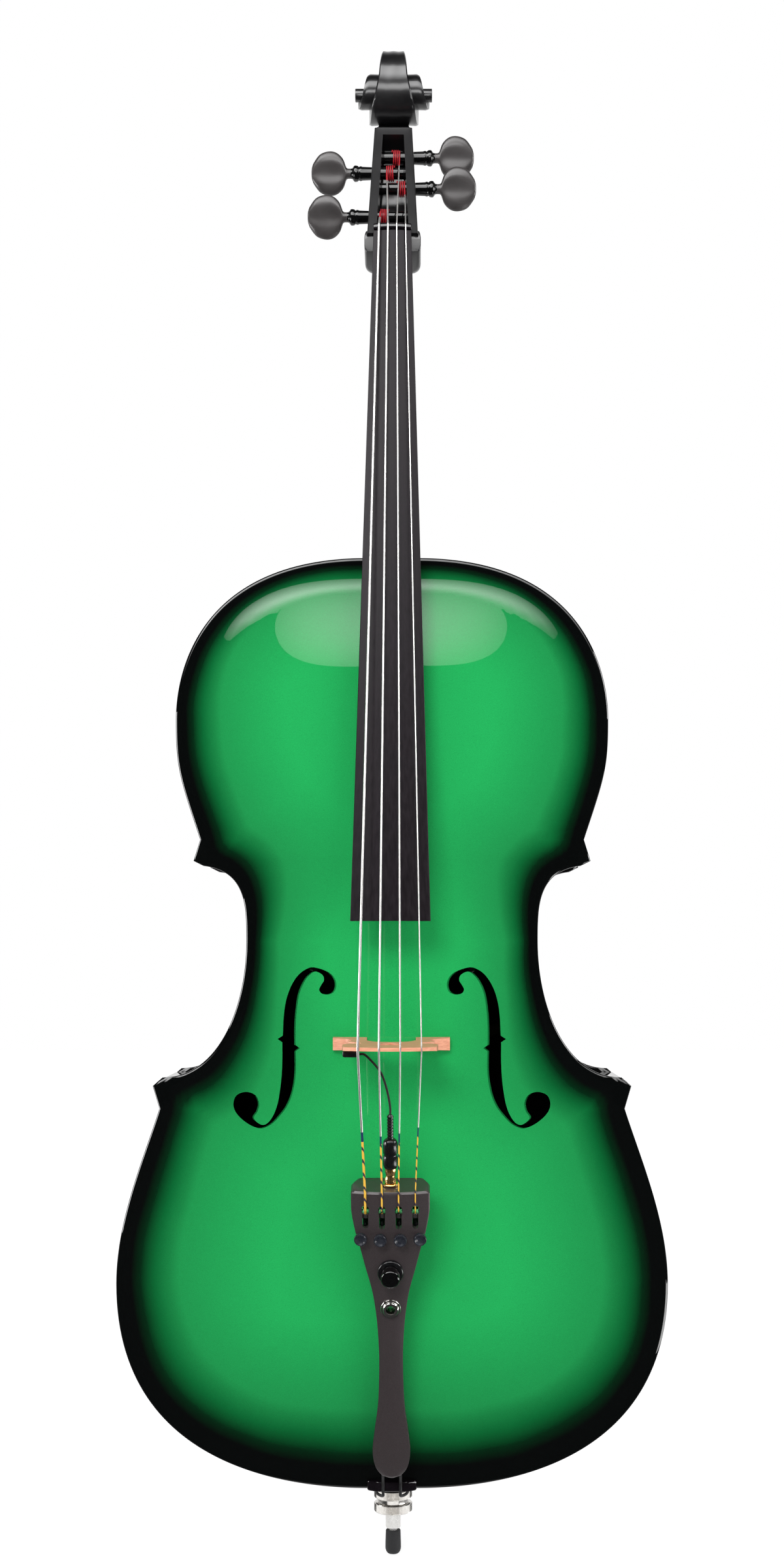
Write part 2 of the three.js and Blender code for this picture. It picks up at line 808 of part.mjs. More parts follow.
// The bass bar, a tapered beam under the low strings' side of the top, trimmed to the plate's underside.
function bassBar() {
  const shares = [-1, -0.75, -0.45, -0.15, 0.15, 0.45, 0.75, 1];
  const lowEnd = blockDepth + barLowReach;
  const highEnd = bodyLength - blockDepth - barHighReach;
  const rings = shares.map((share) => {
    const height = lerp(lowEnd, highEnd, (1 + share) / 2);
    const x = -(barOffset - barSlant * share);
    const deep = lerp(barFoot, barHeight, bell(share, 2));
    const near = -halfRib - archHeight(x, height, topRise) - plateThickness / 4;
    const far = -halfRib - archHeight(x, height, topRise) + deep;
    return [
      vec(x - barWidth / 2, near, bodyBottom + height),
      vec(x + barWidth / 2, near, bodyBottom + height),
      vec(x + barWidth / 3, far, bodyBottom + height),
      vec(x - barWidth / 3, far, bodyBottom + height),
    ];
  });
  return cut(loft(rings), topPlateWhole.clone().translate(0, seatGap, 0));
}

// The sound post, a dowel between the plates behind the high strings' bridge foot.
function soundPost() {
  const height = bridgeHeight - postDrop;
  const reach = (rise) => halfRib + archHeight(postOffset, height, rise) + plateThickness / 3;
  const [near, far] = [-reach(topRise), reach(backRise)];
  const dowel = new THREE.CylinderGeometry(postDiameter / 2, postDiameter / 2, far - near, turnSides);
  dowel.translate(postOffset, (near + far) / 2, bodyBottom + height);
  const front = topPlateWhole.clone().translate(0, seatGap, 0);
  const back = backPlate().translate(0, -seatGap, 0);
  return cut(dowel, front, back);
}

// Fingerboard: its slope, which leaves the strings' action over its end, and at a height its width,
// the front of its crown and the plane it is glued on.
const stringLength = nutHeight - bridgePlace;
const underString = boardLength / stringLength;
const boardSlope =
  (underString * (boardRoot - crownFront) - stringAction) / (boardLength - underString * neckLength);
const boardShare = (z) => (nutHeight - z) / boardLength;
const boardWidth = (z) => lerp(boardNutWidth, boardEndWidth, boardShare(z));
const boardCrown = (z) => boardRoot + (z - bodyBottom - bodyLength) * boardSlope;
const sagitta = (width, radius) => radius - Math.sqrt(radius ** 2 - (width / 2) ** 2);
const edgeDepth = (z) => boardCrown(z) + sagitta(boardWidth(z), boardRadius) + boardEdge;
const gluePlane = (z) => lerp(edgeDepth(nutHeight), edgeDepth(nutHeight - boardLength), boardShare(z));

function fingerboard() {
  const boardEnd = nutHeight - boardLength;
  const root = bodyBottom + bodyLength;
  const stations = [boardEnd, lerp(boardEnd, root, 0.5), root - channelReach, root, nutHeight];
  const across = [-1, -boardBevelShare, -0.2, 0.1, 0.4, 0.72, 1];
  return loft(
    stations.map((z) => {
      const half = boardWidth(z) / 2;
      const crown = boardCrown(z);
      const front = across.map((share) => {
        const x = share * half;
        return vec(x, crown + sagitta(2 * Math.abs(x), boardRadius), z);
      });
      const glue = gluePlane(z) - seatGap;
      const hollow = z < root - channelReach ? boardHollow : 0;
      const back = [1, 0.7, 0, -0.7, -1].map((share) => {
        const rise = hollow * (1 - share ** 2);
        return vec(share * half, glue - rise, z);
      });
      return [...front, ...back];
    }),
    seenAlongZ,
  );
}

// The nut, a slip across the end of the fingerboard that the strings lie on.
function nut() {
  const base = nutHeight + seatGap;
  const shares = [-1, -0.5, 0, 0.5, 1];
  const stations = [
    [base, 0],
    [base + nutThickness * 0.6, 0],
    [base + nutThickness, nutRise * 2.8],
  ];
  return loft(
    stations.map(([z, drop]) => {
      const half = boardNutWidth / 2;
      const front = shares.map((share) => {
        const x = share * half;
        return vec(x, boardCrown(nutHeight) - nutRise + drop + sagitta(2 * Math.abs(x), boardRadius), z);
      });
      const glue = gluePlane(nutHeight) - seatGap;
      return [...front, vec(half, glue, z), vec(-half, glue, z)];
    }),
    seenAlongZ,
  );
}

// The head leans back from the neck: along runs up its front edge and deep goes into it.
const headPlace = new THREE.Matrix4()
  .makeRotationX(-headLean * radians)
  .setPosition(0, gluePlane(nutHeight), nutHeight);
const inHead = (x, deep, along) => vec(x, deep, along).applyMatrix4(headPlace);

// Neck shaft and heel, from the tenon inside the body to the nut, in sections across the height.
function neckShaft() {
  const root = bodyBottom + bodyLength;
  const inside = halfRib - seatGap;
  const heelTop = root + buttonRadius + heelCurve;
  const stations = [
    { z: root - tenonDepth, front: neckRootWidth, back: neckRootWidth, far: inside, square: 12 },
    { z: root + seatGap, front: neckRootWidth, back: neckRootWidth, far: inside, square: 12 },
    { z: root + seatGap * 3, front: boardWidth(root), back: buttonRadius * 2, far: inside, square: 4 },
    { z: root + buttonRadius, front: boardWidth(root), back: buttonRadius * 1.9, far: inside, square: 3.4 },
  ];
  const curve = [0.2, 0.4, 0.6, 0.8, 1];
  curve.forEach((share) => {
    const turn = (share * Math.PI) / 2;
    const z = root + buttonRadius + heelCurve * (1 - Math.cos(turn));
    const shaft = gluePlane(z) + neckDepth;
    const far = lerp(inside, shaft, Math.sin(turn));
    const back = lerp(buttonRadius * 1.9, boardWidth(z), share);
    stations.push({ z, front: boardWidth(z), back, far, square: lerp(3.4, 2.2, share) });
  });
  const upper = [lerp(heelTop, nutHeight, 0.5), nutHeight + seatGap];
  upper.forEach((z) => {
    const far = gluePlane(z) + neckDepth - neckTaper * ((z - heelTop) / (nutHeight - heelTop));
    stations.push({ z, front: boardWidth(z), back: boardWidth(z), far, square: 2.2 });
  });
  const steps = 10;
  return loft(
    stations.map(({ z, front, back, far, square }) => {
      const near = gluePlane(z);
      return Array.from({ length: steps + 1 }, (_, k) => {
        const turn = (Math.PI * k) / steps;
        const wide = Math.abs(Math.cos(turn)) ** (2 / square);
        const deep = Math.sin(turn) ** (2 / square);
        const half = lerp(front, back, deep) / 2;
        return vec(Math.sign(Math.cos(turn)) * half * wide, lerp(near, far, deep), z);
      });
    }),
    seenAlongZ,
  );
}

// A box-like body of the head from sections at places along it, its back corners taken off.
function headLoft(stations) {
  return loft(
    stations.map(({ along, width, near, far }) => {
      const half = width / 2;
      const ease = Math.min(half, far - near) * 0.3;
      return [
        inHead(-half, near, along),
        inHead(half, near, along),
        inHead(half, far - ease, along),
        inHead(half - ease, far, along),
        inHead(-half + ease, far, along),
        inHead(-half, far - ease, along),
      ];
    }),
  );
}

// Outer width and depth of the pegbox along the head.
function pegboxAt(along) {
  const share = Math.min(1, Math.max(0, along / pegboxLength));
  return {
    width: lerp(pegboxWidth, pegboxThroatWidth, share),
    depth: lerp(pegboxDepth, pegboxThroatDepth, share ** 1.15),
  };
}

// The volute: each turn is a plate that the spiral bounds, and every inner turn stands out further.
function volute() {
  const centre = { along: scrollReach, deep: pegboxThroatDepth * 0.1 };
  const startTurn = -0.42;
  const steps = 15;
  const openShare = 0.012;
  const widthAt = [
    [startTurn, pegboxThroatWidth * 0.86],
    [-0.25, scrollTopWidth * 1.15],
    [0, scrollTopWidth],
    [0.25, lerp(scrollTopWidth, scrollTongueWidth, 0.48)],
    [0.5, scrollTongueWidth],
    [1, scrollTongueWidth],
    [1.5, scrollTurnWidth],
    [2, lerp(scrollTurnWidth, scrollEyeWidth, 0.5)],
    [3, scrollEyeWidth],
  ];
  const width = (turn) => {
    const i = Math.max(1, widthAt.findIndex(([at]) => at >= turn));
    const [[a, wa], [b, wb]] = [widthAt[i - 1], widthAt[i]];
    return lerp(wa, wb, (turn - a) / (b - a));
  };
  const radius = (turn) => scrollRadius * Math.min(1, scrollShrinkShare ** turn);
  const place = (turn, reach, x) => {
    const angle = turn * 2 * Math.PI;
    return inHead(x, centre.deep - reach * Math.sin(angle), centre.along + reach * Math.cos(angle));
  };
  const turnPlate = (first) => {
    const turns = Array.from({ length: steps + 1 }, (_, k) => first + ((1 - openShare) * k) / steps);
    const inner = (turn) => radius(turn + 1) * 0.8;
    const top = turns.map((turn) => place(turn, radius(turn), width(turn) / 2));
    const topIn = turns.map((turn) => place(turn, inner(turn), width(turn) / 2));
    const low = turns.map((turn) => place(turn, radius(turn), -width(turn) / 2));
    const lowIn = turns.map((turn) => place(turn, inner(turn), -width(turn) / 2));
    const hub = width(first + 0.5) / 2;
    const points = [...topIn, ...top, ...low, ...lowIn, place(0, 0, hub), place(0, 0, -hub)];
    const count = steps + 1;
    const faces = [];
    for (let k = 0; k < count; k += 1) {
      const next = (k + 1) % count;
      for (let row = 0; row < 3; row += 1) {
        const [a, b] = [row * count + k, row * count + next];
        faces.push(a, b, b + count, a, b + count, a + count);
      }
      faces.push(4 * count, next, k);
      faces.push(4 * count + 1, 3 * count + k, 3 * count + next);
    }
    const geometry = new THREE.BufferGeometry();
    const positions = points.flatMap((p) => [p.x, p.y, p.z]);
    geometry.setAttribute("position", new THREE.Float32BufferAttribute(positions, 3));
    geometry.setIndex(faces);
    return geometryOf(solidOf(geometry));
  };
  const eye = new THREE.CylinderGeometry(scrollEyeRadius, scrollEyeRadius, scrollEyeWidth, turnSides);
  eye.rotateZ(Math.PI / 2).translate(0, centre.deep, centre.along).applyMatrix4(headPlace);
  return join(turnPlate(startTurn), turnPlate(startTurn + 1), eye);
}

// A peg's profile along its own axis from its thin end, as [radius, place] pairs up to the collar.
function pegRadius(x, side) {
  const from = -pegboxWidth / 2;
  const share = (side * x - from) / pegboxWidth;
  return (pegDiameter - pegTaper * (1 - share)) / 2;
}

// The neck with its pegbox and scroll, carved as one piece.
function neckAndHead() {
  const boxStations = [0, 0.3, 0.6, 0.85, 1].map((share) => {
    const { width, depth } = pegboxAt(share * pegboxLength);
    return { along: share * pegboxLength, width, near: 0, far: depth };
  });
  const throat = [
    {
      along: pegboxLength - cutOverrun,
      width: pegboxThroatWidth * 0.96,
      near: cutOverrun,
      far: pegboxThroatDepth,
    },
    {
      along: pegboxLength + throatLength,
      width: pegboxThroatWidth * 0.86,
      near: throatSetback,
      far: pegboxThroatDepth * 1.33,
    },
    { along: scrollReach, width: scrollTopWidth, near: 2 * throatSetback, far: scrollRadius * 0.95 },
  ];
  const chinStations = [
    { along: -chinDrop, width: chinWidth * 0.93, far: chinDepth - 2 * chinBevel },
    { along: -chinDrop + chinBevel, width: chinWidth, far: chinDepth },
    { along: 0, width: chinWidth, far: pegboxDepth * 0.95 },
    { along: 2 * chinBevel, width: chinWidth * 0.9, far: pegboxDepth * 0.9 },
  ].map((station) => {
    const lean = Math.max(0, -station.along) * Math.tan(headLean * radians);
    return { ...station, near: chinSetback + lean };
  });
  const cavity = [pegboxFloor, pegboxLength / 2, pegboxLength - pegboxFloor].map((along) => {
    const { width, depth } = pegboxAt(along);
    return { along, width: width - 2 * pegboxWall, near: -pegboxFloor, far: depth - pegboxFloor };
  });
  const holes = pegReaches.map((along, i) => {
    const side = pegSides[i];
    const wide = pegboxWidth;
    const hole = turned([
      [0, -wide],
      [pegRadius(-wide, 1) + turnGap, -wide],
      [pegRadius(wide, 1) + turnGap, wide],
      [0, wide],
    ], pegFaces);
    hole.rotateZ((-side * Math.PI) / 2).translate(0, pegDepth, along).applyMatrix4(headPlace);
    return hole;
  });
  const whole = join(neckShaft(), headLoft(chinStations), headLoft(boxStations), headLoft(throat), volute());
  return cut(whole, headLoft(cavity), ...holes);
}

// One tuning peg: tapered shaft across the pegbox, collar, slim neck and an oval thumb piece.
function peg(i) {
  const side = pegSides[i];
  const cheek = pegboxAt(pegReaches[i]).width / 2;
  const collar = cheek + pegShow;
  const head = collar + pegNeckLength;
  const thin = -cheek - seatGap;
  const collarRadius = pegCollarDiameter / 2;
  const ease = pegNeckLength / 6;
  const shaft = [
    [thin, pegRadius(side * thin, side)],
    [cheek, pegRadius(side * cheek, side)],
    [collar - pegNeckLength, collarRadius * 0.9],
    [collar - ease, collarRadius],
    [collar, collarRadius * 0.92],
    [collar + ease, collarRadius * 0.62],
    [head - ease, collarRadius * 0.62],
  ].map(([x, radius]) => [x, radius, radius]);
  const thumbShares = [
    [0, 0.28, 0.75],
    [0.1, 0.68, 0.85],
    [0.28, 0.94, 0.95],
    [0.5, 1, 1],
    [0.75, 0.86, 0.9],
    [0.93, 0.5, 0.6],
    [1, 0.22, 0.3],
  ].map(([at, tall, thick]) => [
    head + at * pegHeadLength,
    (tall * pegHeadHeight) / 2,
    (thick * pegHeadThickness) / 2,
  ]);
  const rings = [...shaft, ...thumbShares].map(([x, tall, thick]) =>
    evenRing(pegFaces).map((p) => inHead(side * x, pegDepth + p.x * thick, pegReaches[i] + p.y * tall)),
  );
  return loft(rings);
}

// Where each string crosses the nut and the bridge, from the middle.
const stringShare = (i) => i - (stringDiameters.length - 1) / 2;
const nutX = (i) => stringShare(i) * nutSpacing;
const bridgeX = (i) => stringShare(i) * bridgeSpacing;

// The coil of a string on its peg: its radius, its side-to-side place and where the string leaves it.
function coilOf(i) {
  const inside = pegboxAt(pegReaches[i]).width / 2 - pegboxWall - seatGap;
  const width = windingLoops * windingPitch + windingDiameter;
  const outward = Math.sign(stringShare(i));
  const room = inside - width / 2 - seatGap;
  const middle = outward * Math.min(room, Math.abs(nutX(i)) * 0.62);
  const start = middle + (outward * windingLoops * windingPitch) / 2;
  const radius = pegDiameter / 2 + seatGap + windingDiameter / 2;
  const nutPoint = nutTop(i).applyMatrix4(headPlace.clone().invert());
  const reach = flat(nutPoint.z - pegReaches[i], nutPoint.y - pegDepth);
  const open = Math.acos(radius / reach.length());
  const angle = Math.atan2(reach.y, reach.x) + open;
  const leave = flat(Math.cos(angle), Math.sin(angle)).multiplyScalar(radius);
  return { start, outward, radius, angle, leave };
}

// The string's place on top of the nut.
function nutTop(i) {
  const x = nutX(i);
  const front = boardCrown(nutHeight) - nutRise + sagitta(2 * Math.abs(x), boardRadius);
  return vec(x, front - seatGap - stringDiameters[i] / 2, nutHeight + seatGap + nutThickness * 0.6);
}

// The winding of a string on its peg: one unbroken coil with a straight end toward the nut.
function winding(i) {
  const { start, outward, radius, angle } = coilOf(i);
  const steps = windingLoops * loopSteps;
  const points = Array.from({ length: steps + 1 }, (_, k) => {
    const turn = angle - (k / loopSteps) * 2 * Math.PI;
    const x = start - outward * windingPitch * (k / loopSteps);
    return vec(x, radius * Math.sin(turn), radius * Math.cos(turn));
  });
  const back = vec(0, Math.cos(angle), -Math.sin(angle)).multiplyScalar(windingDiameter);
  points.unshift(points[0].clone().add(back));
  const coil = tube(points, [windingDiameter / 2], stringSides);
  return { coil: coil.translate(0, pegDepth, pegReaches[i]).applyMatrix4(headPlace), points };
}

// Least space between a tube's own turns, from its centre points that lie further apart than half a loop.
function leastSelfGap(points, diameter) {
  let least = Infinity;
  for (let i = 0; i < points.length; i += 1) {
    for (let j = i + loopSteps / 2; j < points.length; j += 1) {
      least = Math.min(least, points[i].distanceTo(points[j]) - diameter);
    }
  }
  return least;
}

// Tailpiece frame: its middle line lies at the top edge of the head, running down as reach grows.
const tailPlace = new THREE.Matrix4()
  .makeRotationX(tailAngle * radians)
  .setPosition(0, frontEdge - tailHeadLift, bodyBottom + tailHeadHeight);
const inTail = (x, deep, reach) => vec(x, deep, -reach).applyMatrix4(tailPlace);

// The tailpiece along its length: place, width and depth, as shares of its length, width and depth.
const tailShares = [
  [0, 1, 1],
  [0.06, 1, 1],
  [0.135, 0.9, 1],
  [0.19, 0.78, 1],
  [0.255, 0.65, 1],
  [0.34, 0.475, 1],
  [0.43, 0.37, 0.98],
  [0.53, 0.317, 0.75],
  [0.62, 0.31, 0.55],
  [0.74, 0.347, 0.48],
  [0.84, 0.445, 0.46],
  [0.91, 0.495, 0.45],
  [0.965, 0.41, 0.42],
  [1, 0.2, 0.36],
];

function tailAt(reach) {
  const share = reach / tailLength;
  const i = Math.max(1, tailShares.findIndex(([at]) => at >= share));
  const [[a, wa, da], [b, wb, db]] = [tailShares[i - 1], tailShares[i]];
  const between = (share - a) / (b - a);
  const half = (lerp(wa, wb, between) * tailWidth) / 2;
  const depth = lerp(da, db, between) * tailDepth;
  return { half, depth };
}

// How far the tailpiece's crowned front stands out at a place.
function tailFront(x, reach) {
  const { half } = tailAt(reach);
  return -tailCrown * (1 - Math.min(1, Math.abs(x) / half) ** 2);
}

// Sections across the tailpiece, in its own frame: a crowned front, and a back with eased corners.
function tailSection(reach, half, near, depth, crown) {
  const across = [-1, -0.62, 0, 0.62, 1];
  const front = across.map((share) => vec(share * half, near - crown * (1 - share ** 2), -reach));
  const backShare = 0.84;
  const sideShare = 0.6;
  const back = [
    vec(half, lerp(near, depth, sideShare), -reach),
    vec(half * backShare, depth, -reach),
    vec(-half * backShare, depth, -reach),
    vec(-half, lerp(near, depth, sideShare), -reach),
  ];
  return [...front, ...back];
}

const slotXs = stringDiameters.map((_, i) => stringShare(i) * slotSpacing);
const splayOf = (i) => (stringShare(i) / 1.5) * tunerSplay;

// A space along the axis of one tuner screw, from a profile of [radius, distance out from the lever].
function onTunerAxis(profile, i, sides) {
  const piece = turned(profile, sides).rotateX(Math.PI);
  piece.rotateZ(splayOf(i) * radians);
  return piece.translate(slotXs[i], leverPivotDepth, -tunerReach);
}

// The moulded tailpiece: crowned shell, open at the back of its head, with slots, holes and end wall.
function tailpiece() {
  const solid = loft(
    tailShares.map(([at, width, depth]) => {
      const end = tailCrown * Math.min(1, depth + 0.2);
      return tailSection(at * tailLength, (width * tailWidth) / 2, 0, depth * tailDepth, end);
    }),
    seenAlongZ,
  );
  const within = tailShares.map(([at]) => at * tailLength).slice(1);
  const endWall = tailWall * 1.4;
  const cavityStations = [endWall, ...within.filter((reach) => reach < tailCavityLength), tailCavityLength];
  const cavity = loft(
    cavityStations.map((reach) => {
      const half = tailAt(reach).half - tailWall;
      return [
        vec(-half, tailWall, -reach),
        vec(half, tailWall, -reach),
        vec(half, tailDepth + cutOverrun, -reach),
        vec(-half, tailDepth + cutOverrun, -reach),
      ];
    }),
  );
  const through = tailWall + tailCrown + 2 * cutOverrun;
  const middle = through / 2 - tailCrown - cutOverrun;
  const slots = slotXs.map((x) =>
    box(slotWidth, through, slotLength, x, middle, -slotStart - slotLength / 2),
  );
  const holes = slotXs.map((_, i) => {
    const radius = tunerScrewDiameter / 2 + turnGap;
    return onTunerAxis(
      [
        [0, leverPivotDepth - tailWall - cutOverrun],
        [radius, leverPivotDepth - tailWall - cutOverrun],
        [radius, leverPivotDepth + tailCrown + cutOverrun],
        [0, leverPivotDepth + tailCrown + cutOverrun],
      ],
      i,
      pegFaces,
    );
  });
  const drilled = (radius, reach) =>
    new THREE.CylinderGeometry(radius, radius, through, turnSides).translate(0, middle, -reach);
  const knobHole = drilled(bushingDiameter / 4 + seatGap, knobReach);
  const outputHole = drilled(outputBarrel / 2 + seatGap, outputReach);
  const inputRadius = inputBarrel / 2 + seatGap;
  const inputRun = endWall + 2 * cutOverrun;
  const inputHole = new THREE.CylinderGeometry(inputRadius, inputRadius, inputRun, turnSides);
  inputHole.rotateX(Math.PI / 2).translate(0, inputDepth, cutOverrun - inputRun / 2);
  const gutHoles = [-1, 1].map((side) => {
    const radius = gutDiameter / 2 + seatGap;
    const hole = new THREE.CylinderGeometry(radius, radius, gutSeat + cutOverrun, pegFaces);
    hole.rotateX(Math.PI / 2);
    return hole.translate((side * gutSpacing) / 2, gutDepth, -tailLength + (gutSeat - cutOverrun) / 2);
  });
  return cut(solid, cavity, ...slots, ...holes, knobHole, outputHole, inputHole, ...gutHoles);
}

// One fine tuner's lever: a hook that stands in the slot, a boss on the axle and an arm under the screw.
function tunerLever(i) {
  const boss = leverThickness;
  const arm = tunerReach - leverPivotReach + leverThickness;
  const hookTop = leverPivotDepth - tailWall / 2;
  const shape = new THREE.Shape([
    flat(-boss * 0.8, -boss * 0.35),
    flat(-boss * 0.8, boss * 0.35),
    flat(-leverThickness / 2, boss * 0.8),
    flat(-leverThickness / 2, hookTop),
    flat(leverThickness / 2, hookTop),
    flat(leverThickness / 2, leverThickness / 2),
    flat(arm, leverThickness / 2),
    flat(arm, -leverThickness / 2),
    flat(boss * 0.8, -leverThickness / 2),
    flat(boss * 0.5, -boss * 0.8),
    flat(-boss * 0.4, -boss * 0.7),
  ]);
  const bore = axleDiameter / 2 + seatGap;
  shape.holes.push(new THREE.Path(evenRing(pegFaces).map((p) => p.multiplyScalar(bore))));
  const geometry = new THREE.ExtrudeGeometry(shape, { depth: leverWidth, bevelEnabled: false });
  geometry.translate(0, 0, -leverWidth / 2).rotateY(Math.PI / 2).scale(1, -1, 1);
  return geometryOf(solidOf(geometry));
}

// A string from the hook in the tailpiece, over the head's edge, the bridge and the nut, to its coil.
function string(i) {
  const radius = stringDiameters[i] / 2;
  const lift = radius + seatGap;
  const hookFace = leverPivotReach - leverThickness / 2 - seatGap;
  const slotX = slotXs[i];
  const overEdge = (reach) => inTail(slotX, tailFront(slotX, reach) - lift, reach);
  const bridgeFront = crownFront + sagitta(2 * Math.abs(bridgeX(i)), bridgeCrownRadius) - lift;
  const { start, leave, radius: coilRadius } = coilOf(i);
  const nutPoint = nutTop(i);
  const touch = inHead(start, pegDepth + leave.y, pegReaches[i] + leave.x);
  const along = touch.clone().sub(nutPoint).normalize();
  const swept = coilRadius + windingDiameter / 2 + radius + seatGap;
  const short = Math.sqrt(swept ** 2 - coilRadius ** 2) + windingDiameter;
  const points = [
    inTail(slotX, tailWall / 2, hookFace),
    inTail(slotX, tailFront(slotX, slotStart) - lift * 0.7, slotStart + slotWidth / 2),
    overEdge(slotStart / 2),
    overEdge(seatGap),
    vec(bridgeX(i), bridgeFront, bridgePlace - bridgeCrownDepth / 2),
    vec(bridgeX(i), bridgeFront, bridgePlace + bridgeCrownDepth / 2),
    nutPoint,
    touch.clone().addScaledVector(along, -short),
  ];
  return tube(points, [radius], stringSides);
}

// The bridge's foot level, its height above that level, and its thickness at a height above the edge.
const bridgeBase = archHeight(bridgeFootSpan / 2, bridgeHeight, topRise) - plateThickness / 2;
const bridgeTall = bridgeCrown - bridgeBase;
function bridgeThickness(height) {
  const rise = Math.max(0, (height - bridgeBase) / bridgeTall);
  return lerp(bridgeFootDepth, bridgeCrownDepth, Math.min(1, rise * 1.1) ** 0.6);
}

// The bridge: feet that follow the top, slim legs, open heart and side cut-outs, and a curved crown.
function bridge() {
  const foot = bridgeFootSpan / 2;
  const inner = foot - bridgeFootLength;
  const crown = bridgeCrownSpan / 2;
  const footing = (x) => archHeight(x, bridgeHeight, topRise) - plateThickness / 2;
  const at = (x, share) => flat(x, bridgeBase + bridgeTall * share);
  const crownArc = [1, 0.72, 0.36, 0].map((share) => {
    const x = share * crown;
    return flat(x, bridgeCrown - sagitta(2 * x, bridgeCrownRadius));
  });
  const right = [
    at(0, 0.41),
    at(inner * 0.62, 0.38),
    at(inner * 0.98, 0.27),
    at(inner * 1.08, 0.14),
    at(inner, 0.09),
    flat(inner, footing(inner)),
    flat(foot, footing(foot)),
    at(foot, 0.09),
    at(foot * 0.88, 0.12),
    at(foot * 0.72, 0.17),
    at(foot * 0.66, 0.3),
    at(foot * 0.73, 0.37),
    at(foot * 0.62, 0.42),
    at(foot * 0.5, 0.46),
    at(foot * 0.53, 0.53),
    at(foot * 0.72, 0.57),
    at(foot * 0.79, 0.66),
    at(crown, 0.84),
    ...crownArc,
  ];
  const left = right.slice(1, -1).reverse().map((p) => flat(-p.x, p.y));
  const shape = new THREE.Shape([...right, ...left]);
  const heart = [
    [0, 0.5],
    [0.13, 0.58],
    [0.21, 0.66],
    [0.17, 0.7],
    [0.07, 0.69],
    [0, 0.66],
  ].map(([x, share]) => at(x * foot, share));
  const heartLeft = heart.slice(1, -1).reverse().map((p) => flat(-p.x, p.y));
  shape.holes.push(new THREE.Path([...heart, ...heartLeft]));
  const geometry = new THREE.ExtrudeGeometry(shape, { depth: 1, bevelEnabled: false });
  const point = geometry.attributes.position;
  for (let k = 0; k < point.count; k += 1) {
    const height = point.getY(k);
    const depth = (point.getZ(k) - 0.5) * bridgeThickness(height);
    point.setXYZ(k, point.getX(k), frontEdge - height, bridgePlace + depth);
  }
  return cut(geometry, topPlateWhole.clone().translate(0, -seatGap, 0));
}

// The pickup, a small rounded block on the tailpiece side of the bridge's low wing.
const pickupLift = bridgeCrown * 0.83;
const pickupFront = frontEdge - pickupLift;
const pickupX = -bridgeCrownSpan * 0.42;
const pickupTop = bridgePlace - bridgeThickness(pickupLift - pickupHeight / 2) / 2 - seatGap;
function pickup() {
  const ease = pickupDepth / 4;
  const rings = [
    [pickupTop, 0],
    [pickupTop - pickupDepth + ease, 0],
    [pickupTop - pickupDepth, ease],
  ].map(([z, shrink]) => {
    const [half, tall] = [pickupLength / 2 - shrink, pickupHeight / 2 - shrink];
    return [
      vec(pickupX - half, pickupFront - tall, z),
      vec(pickupX + half, pickupFront - tall, z),
      vec(pickupX + half, pickupFront + tall, z),
      vec(pickupX - half, pickupFront + tall, z),
    ];
  });
  return loft(rings);
}

// The lead from the pickup's right end to the top of the strain relief, on points chosen by hand.
const plugBase = inputFlange + 2 * seatGap;
const plugTop = plugBase + barrelLength + plugLength + reliefLength + seatGap;
function pickupLead() {
  const low = pickupTop - pickupDepth / 2;
  const route = [
    vec(pickupX + pickupLength / 2 + seatGap, pickupFront, low),
    vec(pickupX + pickupLength / 2 + 2 * leadDiameter, pickupFront, low),
    vec(-14, -158, 424),
    vec(-7, -155.5, 415),
    vec(-2.5, -153, 402),
    inTail(0, inputDepth, -plugTop - 3 * leadDiameter),
    inTail(0, inputDepth, -plugTop - seatGap),
  ];
  const steps = 14;
  const curve = new THREE.CatmullRomCurve3(route, false, "centripetal");
  return tube(curve.getSpacedPoints(steps), [leadDiameter / 2], 8);
}

// The tail gut: from one hole in the tailpiece, over the saddle, round the plug's neck and back.
function tailGut() {
  const radius = gutDiameter / 2;
  const around = plugNeckDiameter / 2 + radius + seatGap;
  const half = gutSpacing / 2;
  const saddleTop = frontEdge - saddleRise - radius - seatGap;
  const level = bodyBottom - radius - seatGap - edgeRound;
  const side = [
    inTail(half, gutDepth, tailLength - gutSeat + seatGap),
    inTail(half, gutDepth, tailLength),
    vec(half, saddleTop, bodyBottom + saddleDepth),
    vec(half, saddleTop, bodyBottom),
    vec(half, saddleTop + radius, level),
    vec(around * 0.8, frontEdge, level - radius),
    vec(around, -around, level - radius),
  ];
  const back = [0, 1, 2, 3, 4, 5, 6].map((step) => {
    const turn = (step * Math.PI) / 12;
    return vec(around * Math.cos(turn), around * Math.sin(turn), level - radius);
  });
  const right = [...side, ...back];
  const left = right.slice(0, -1).reverse().map((p) => vec(-p.x, p.y, p.z));
  return tube([...right, ...left], [radius], stringSides);
}

function saddle() {
  const z = bodyBottom + saddleDepth / 2;
  const near = frontEdge - saddleRise;
  const far = -halfRib - seatGap;
  const half = saddleWidth / 2;
  const low = saddleRise * 0.55;
  const shape = [
    flat(-half, far),
    flat(-half, near + low),
    flat(-half * 0.55, near),
    flat(half * 0.55, near),
    flat(half, near + low),
    flat(half, far),
  ];
  return loft(
    [z - saddleDepth / 2, z + saddleDepth / 2 - seatGap].map((at) => shape.map((p) => vec(p.x, p.y, at))),
    seenAlongZ,
  );
}

function saddleSpace() {
  const depth = saddleDepth + cutOverrun;
  const width = saddleWidth + 2 * seatGap;
  const front = -halfRib - ribHeight / 2 + cutOverrun;
  return box(width, ribHeight, depth, 0, front, bodyBottom + depth / 2 - cutOverrun);
}

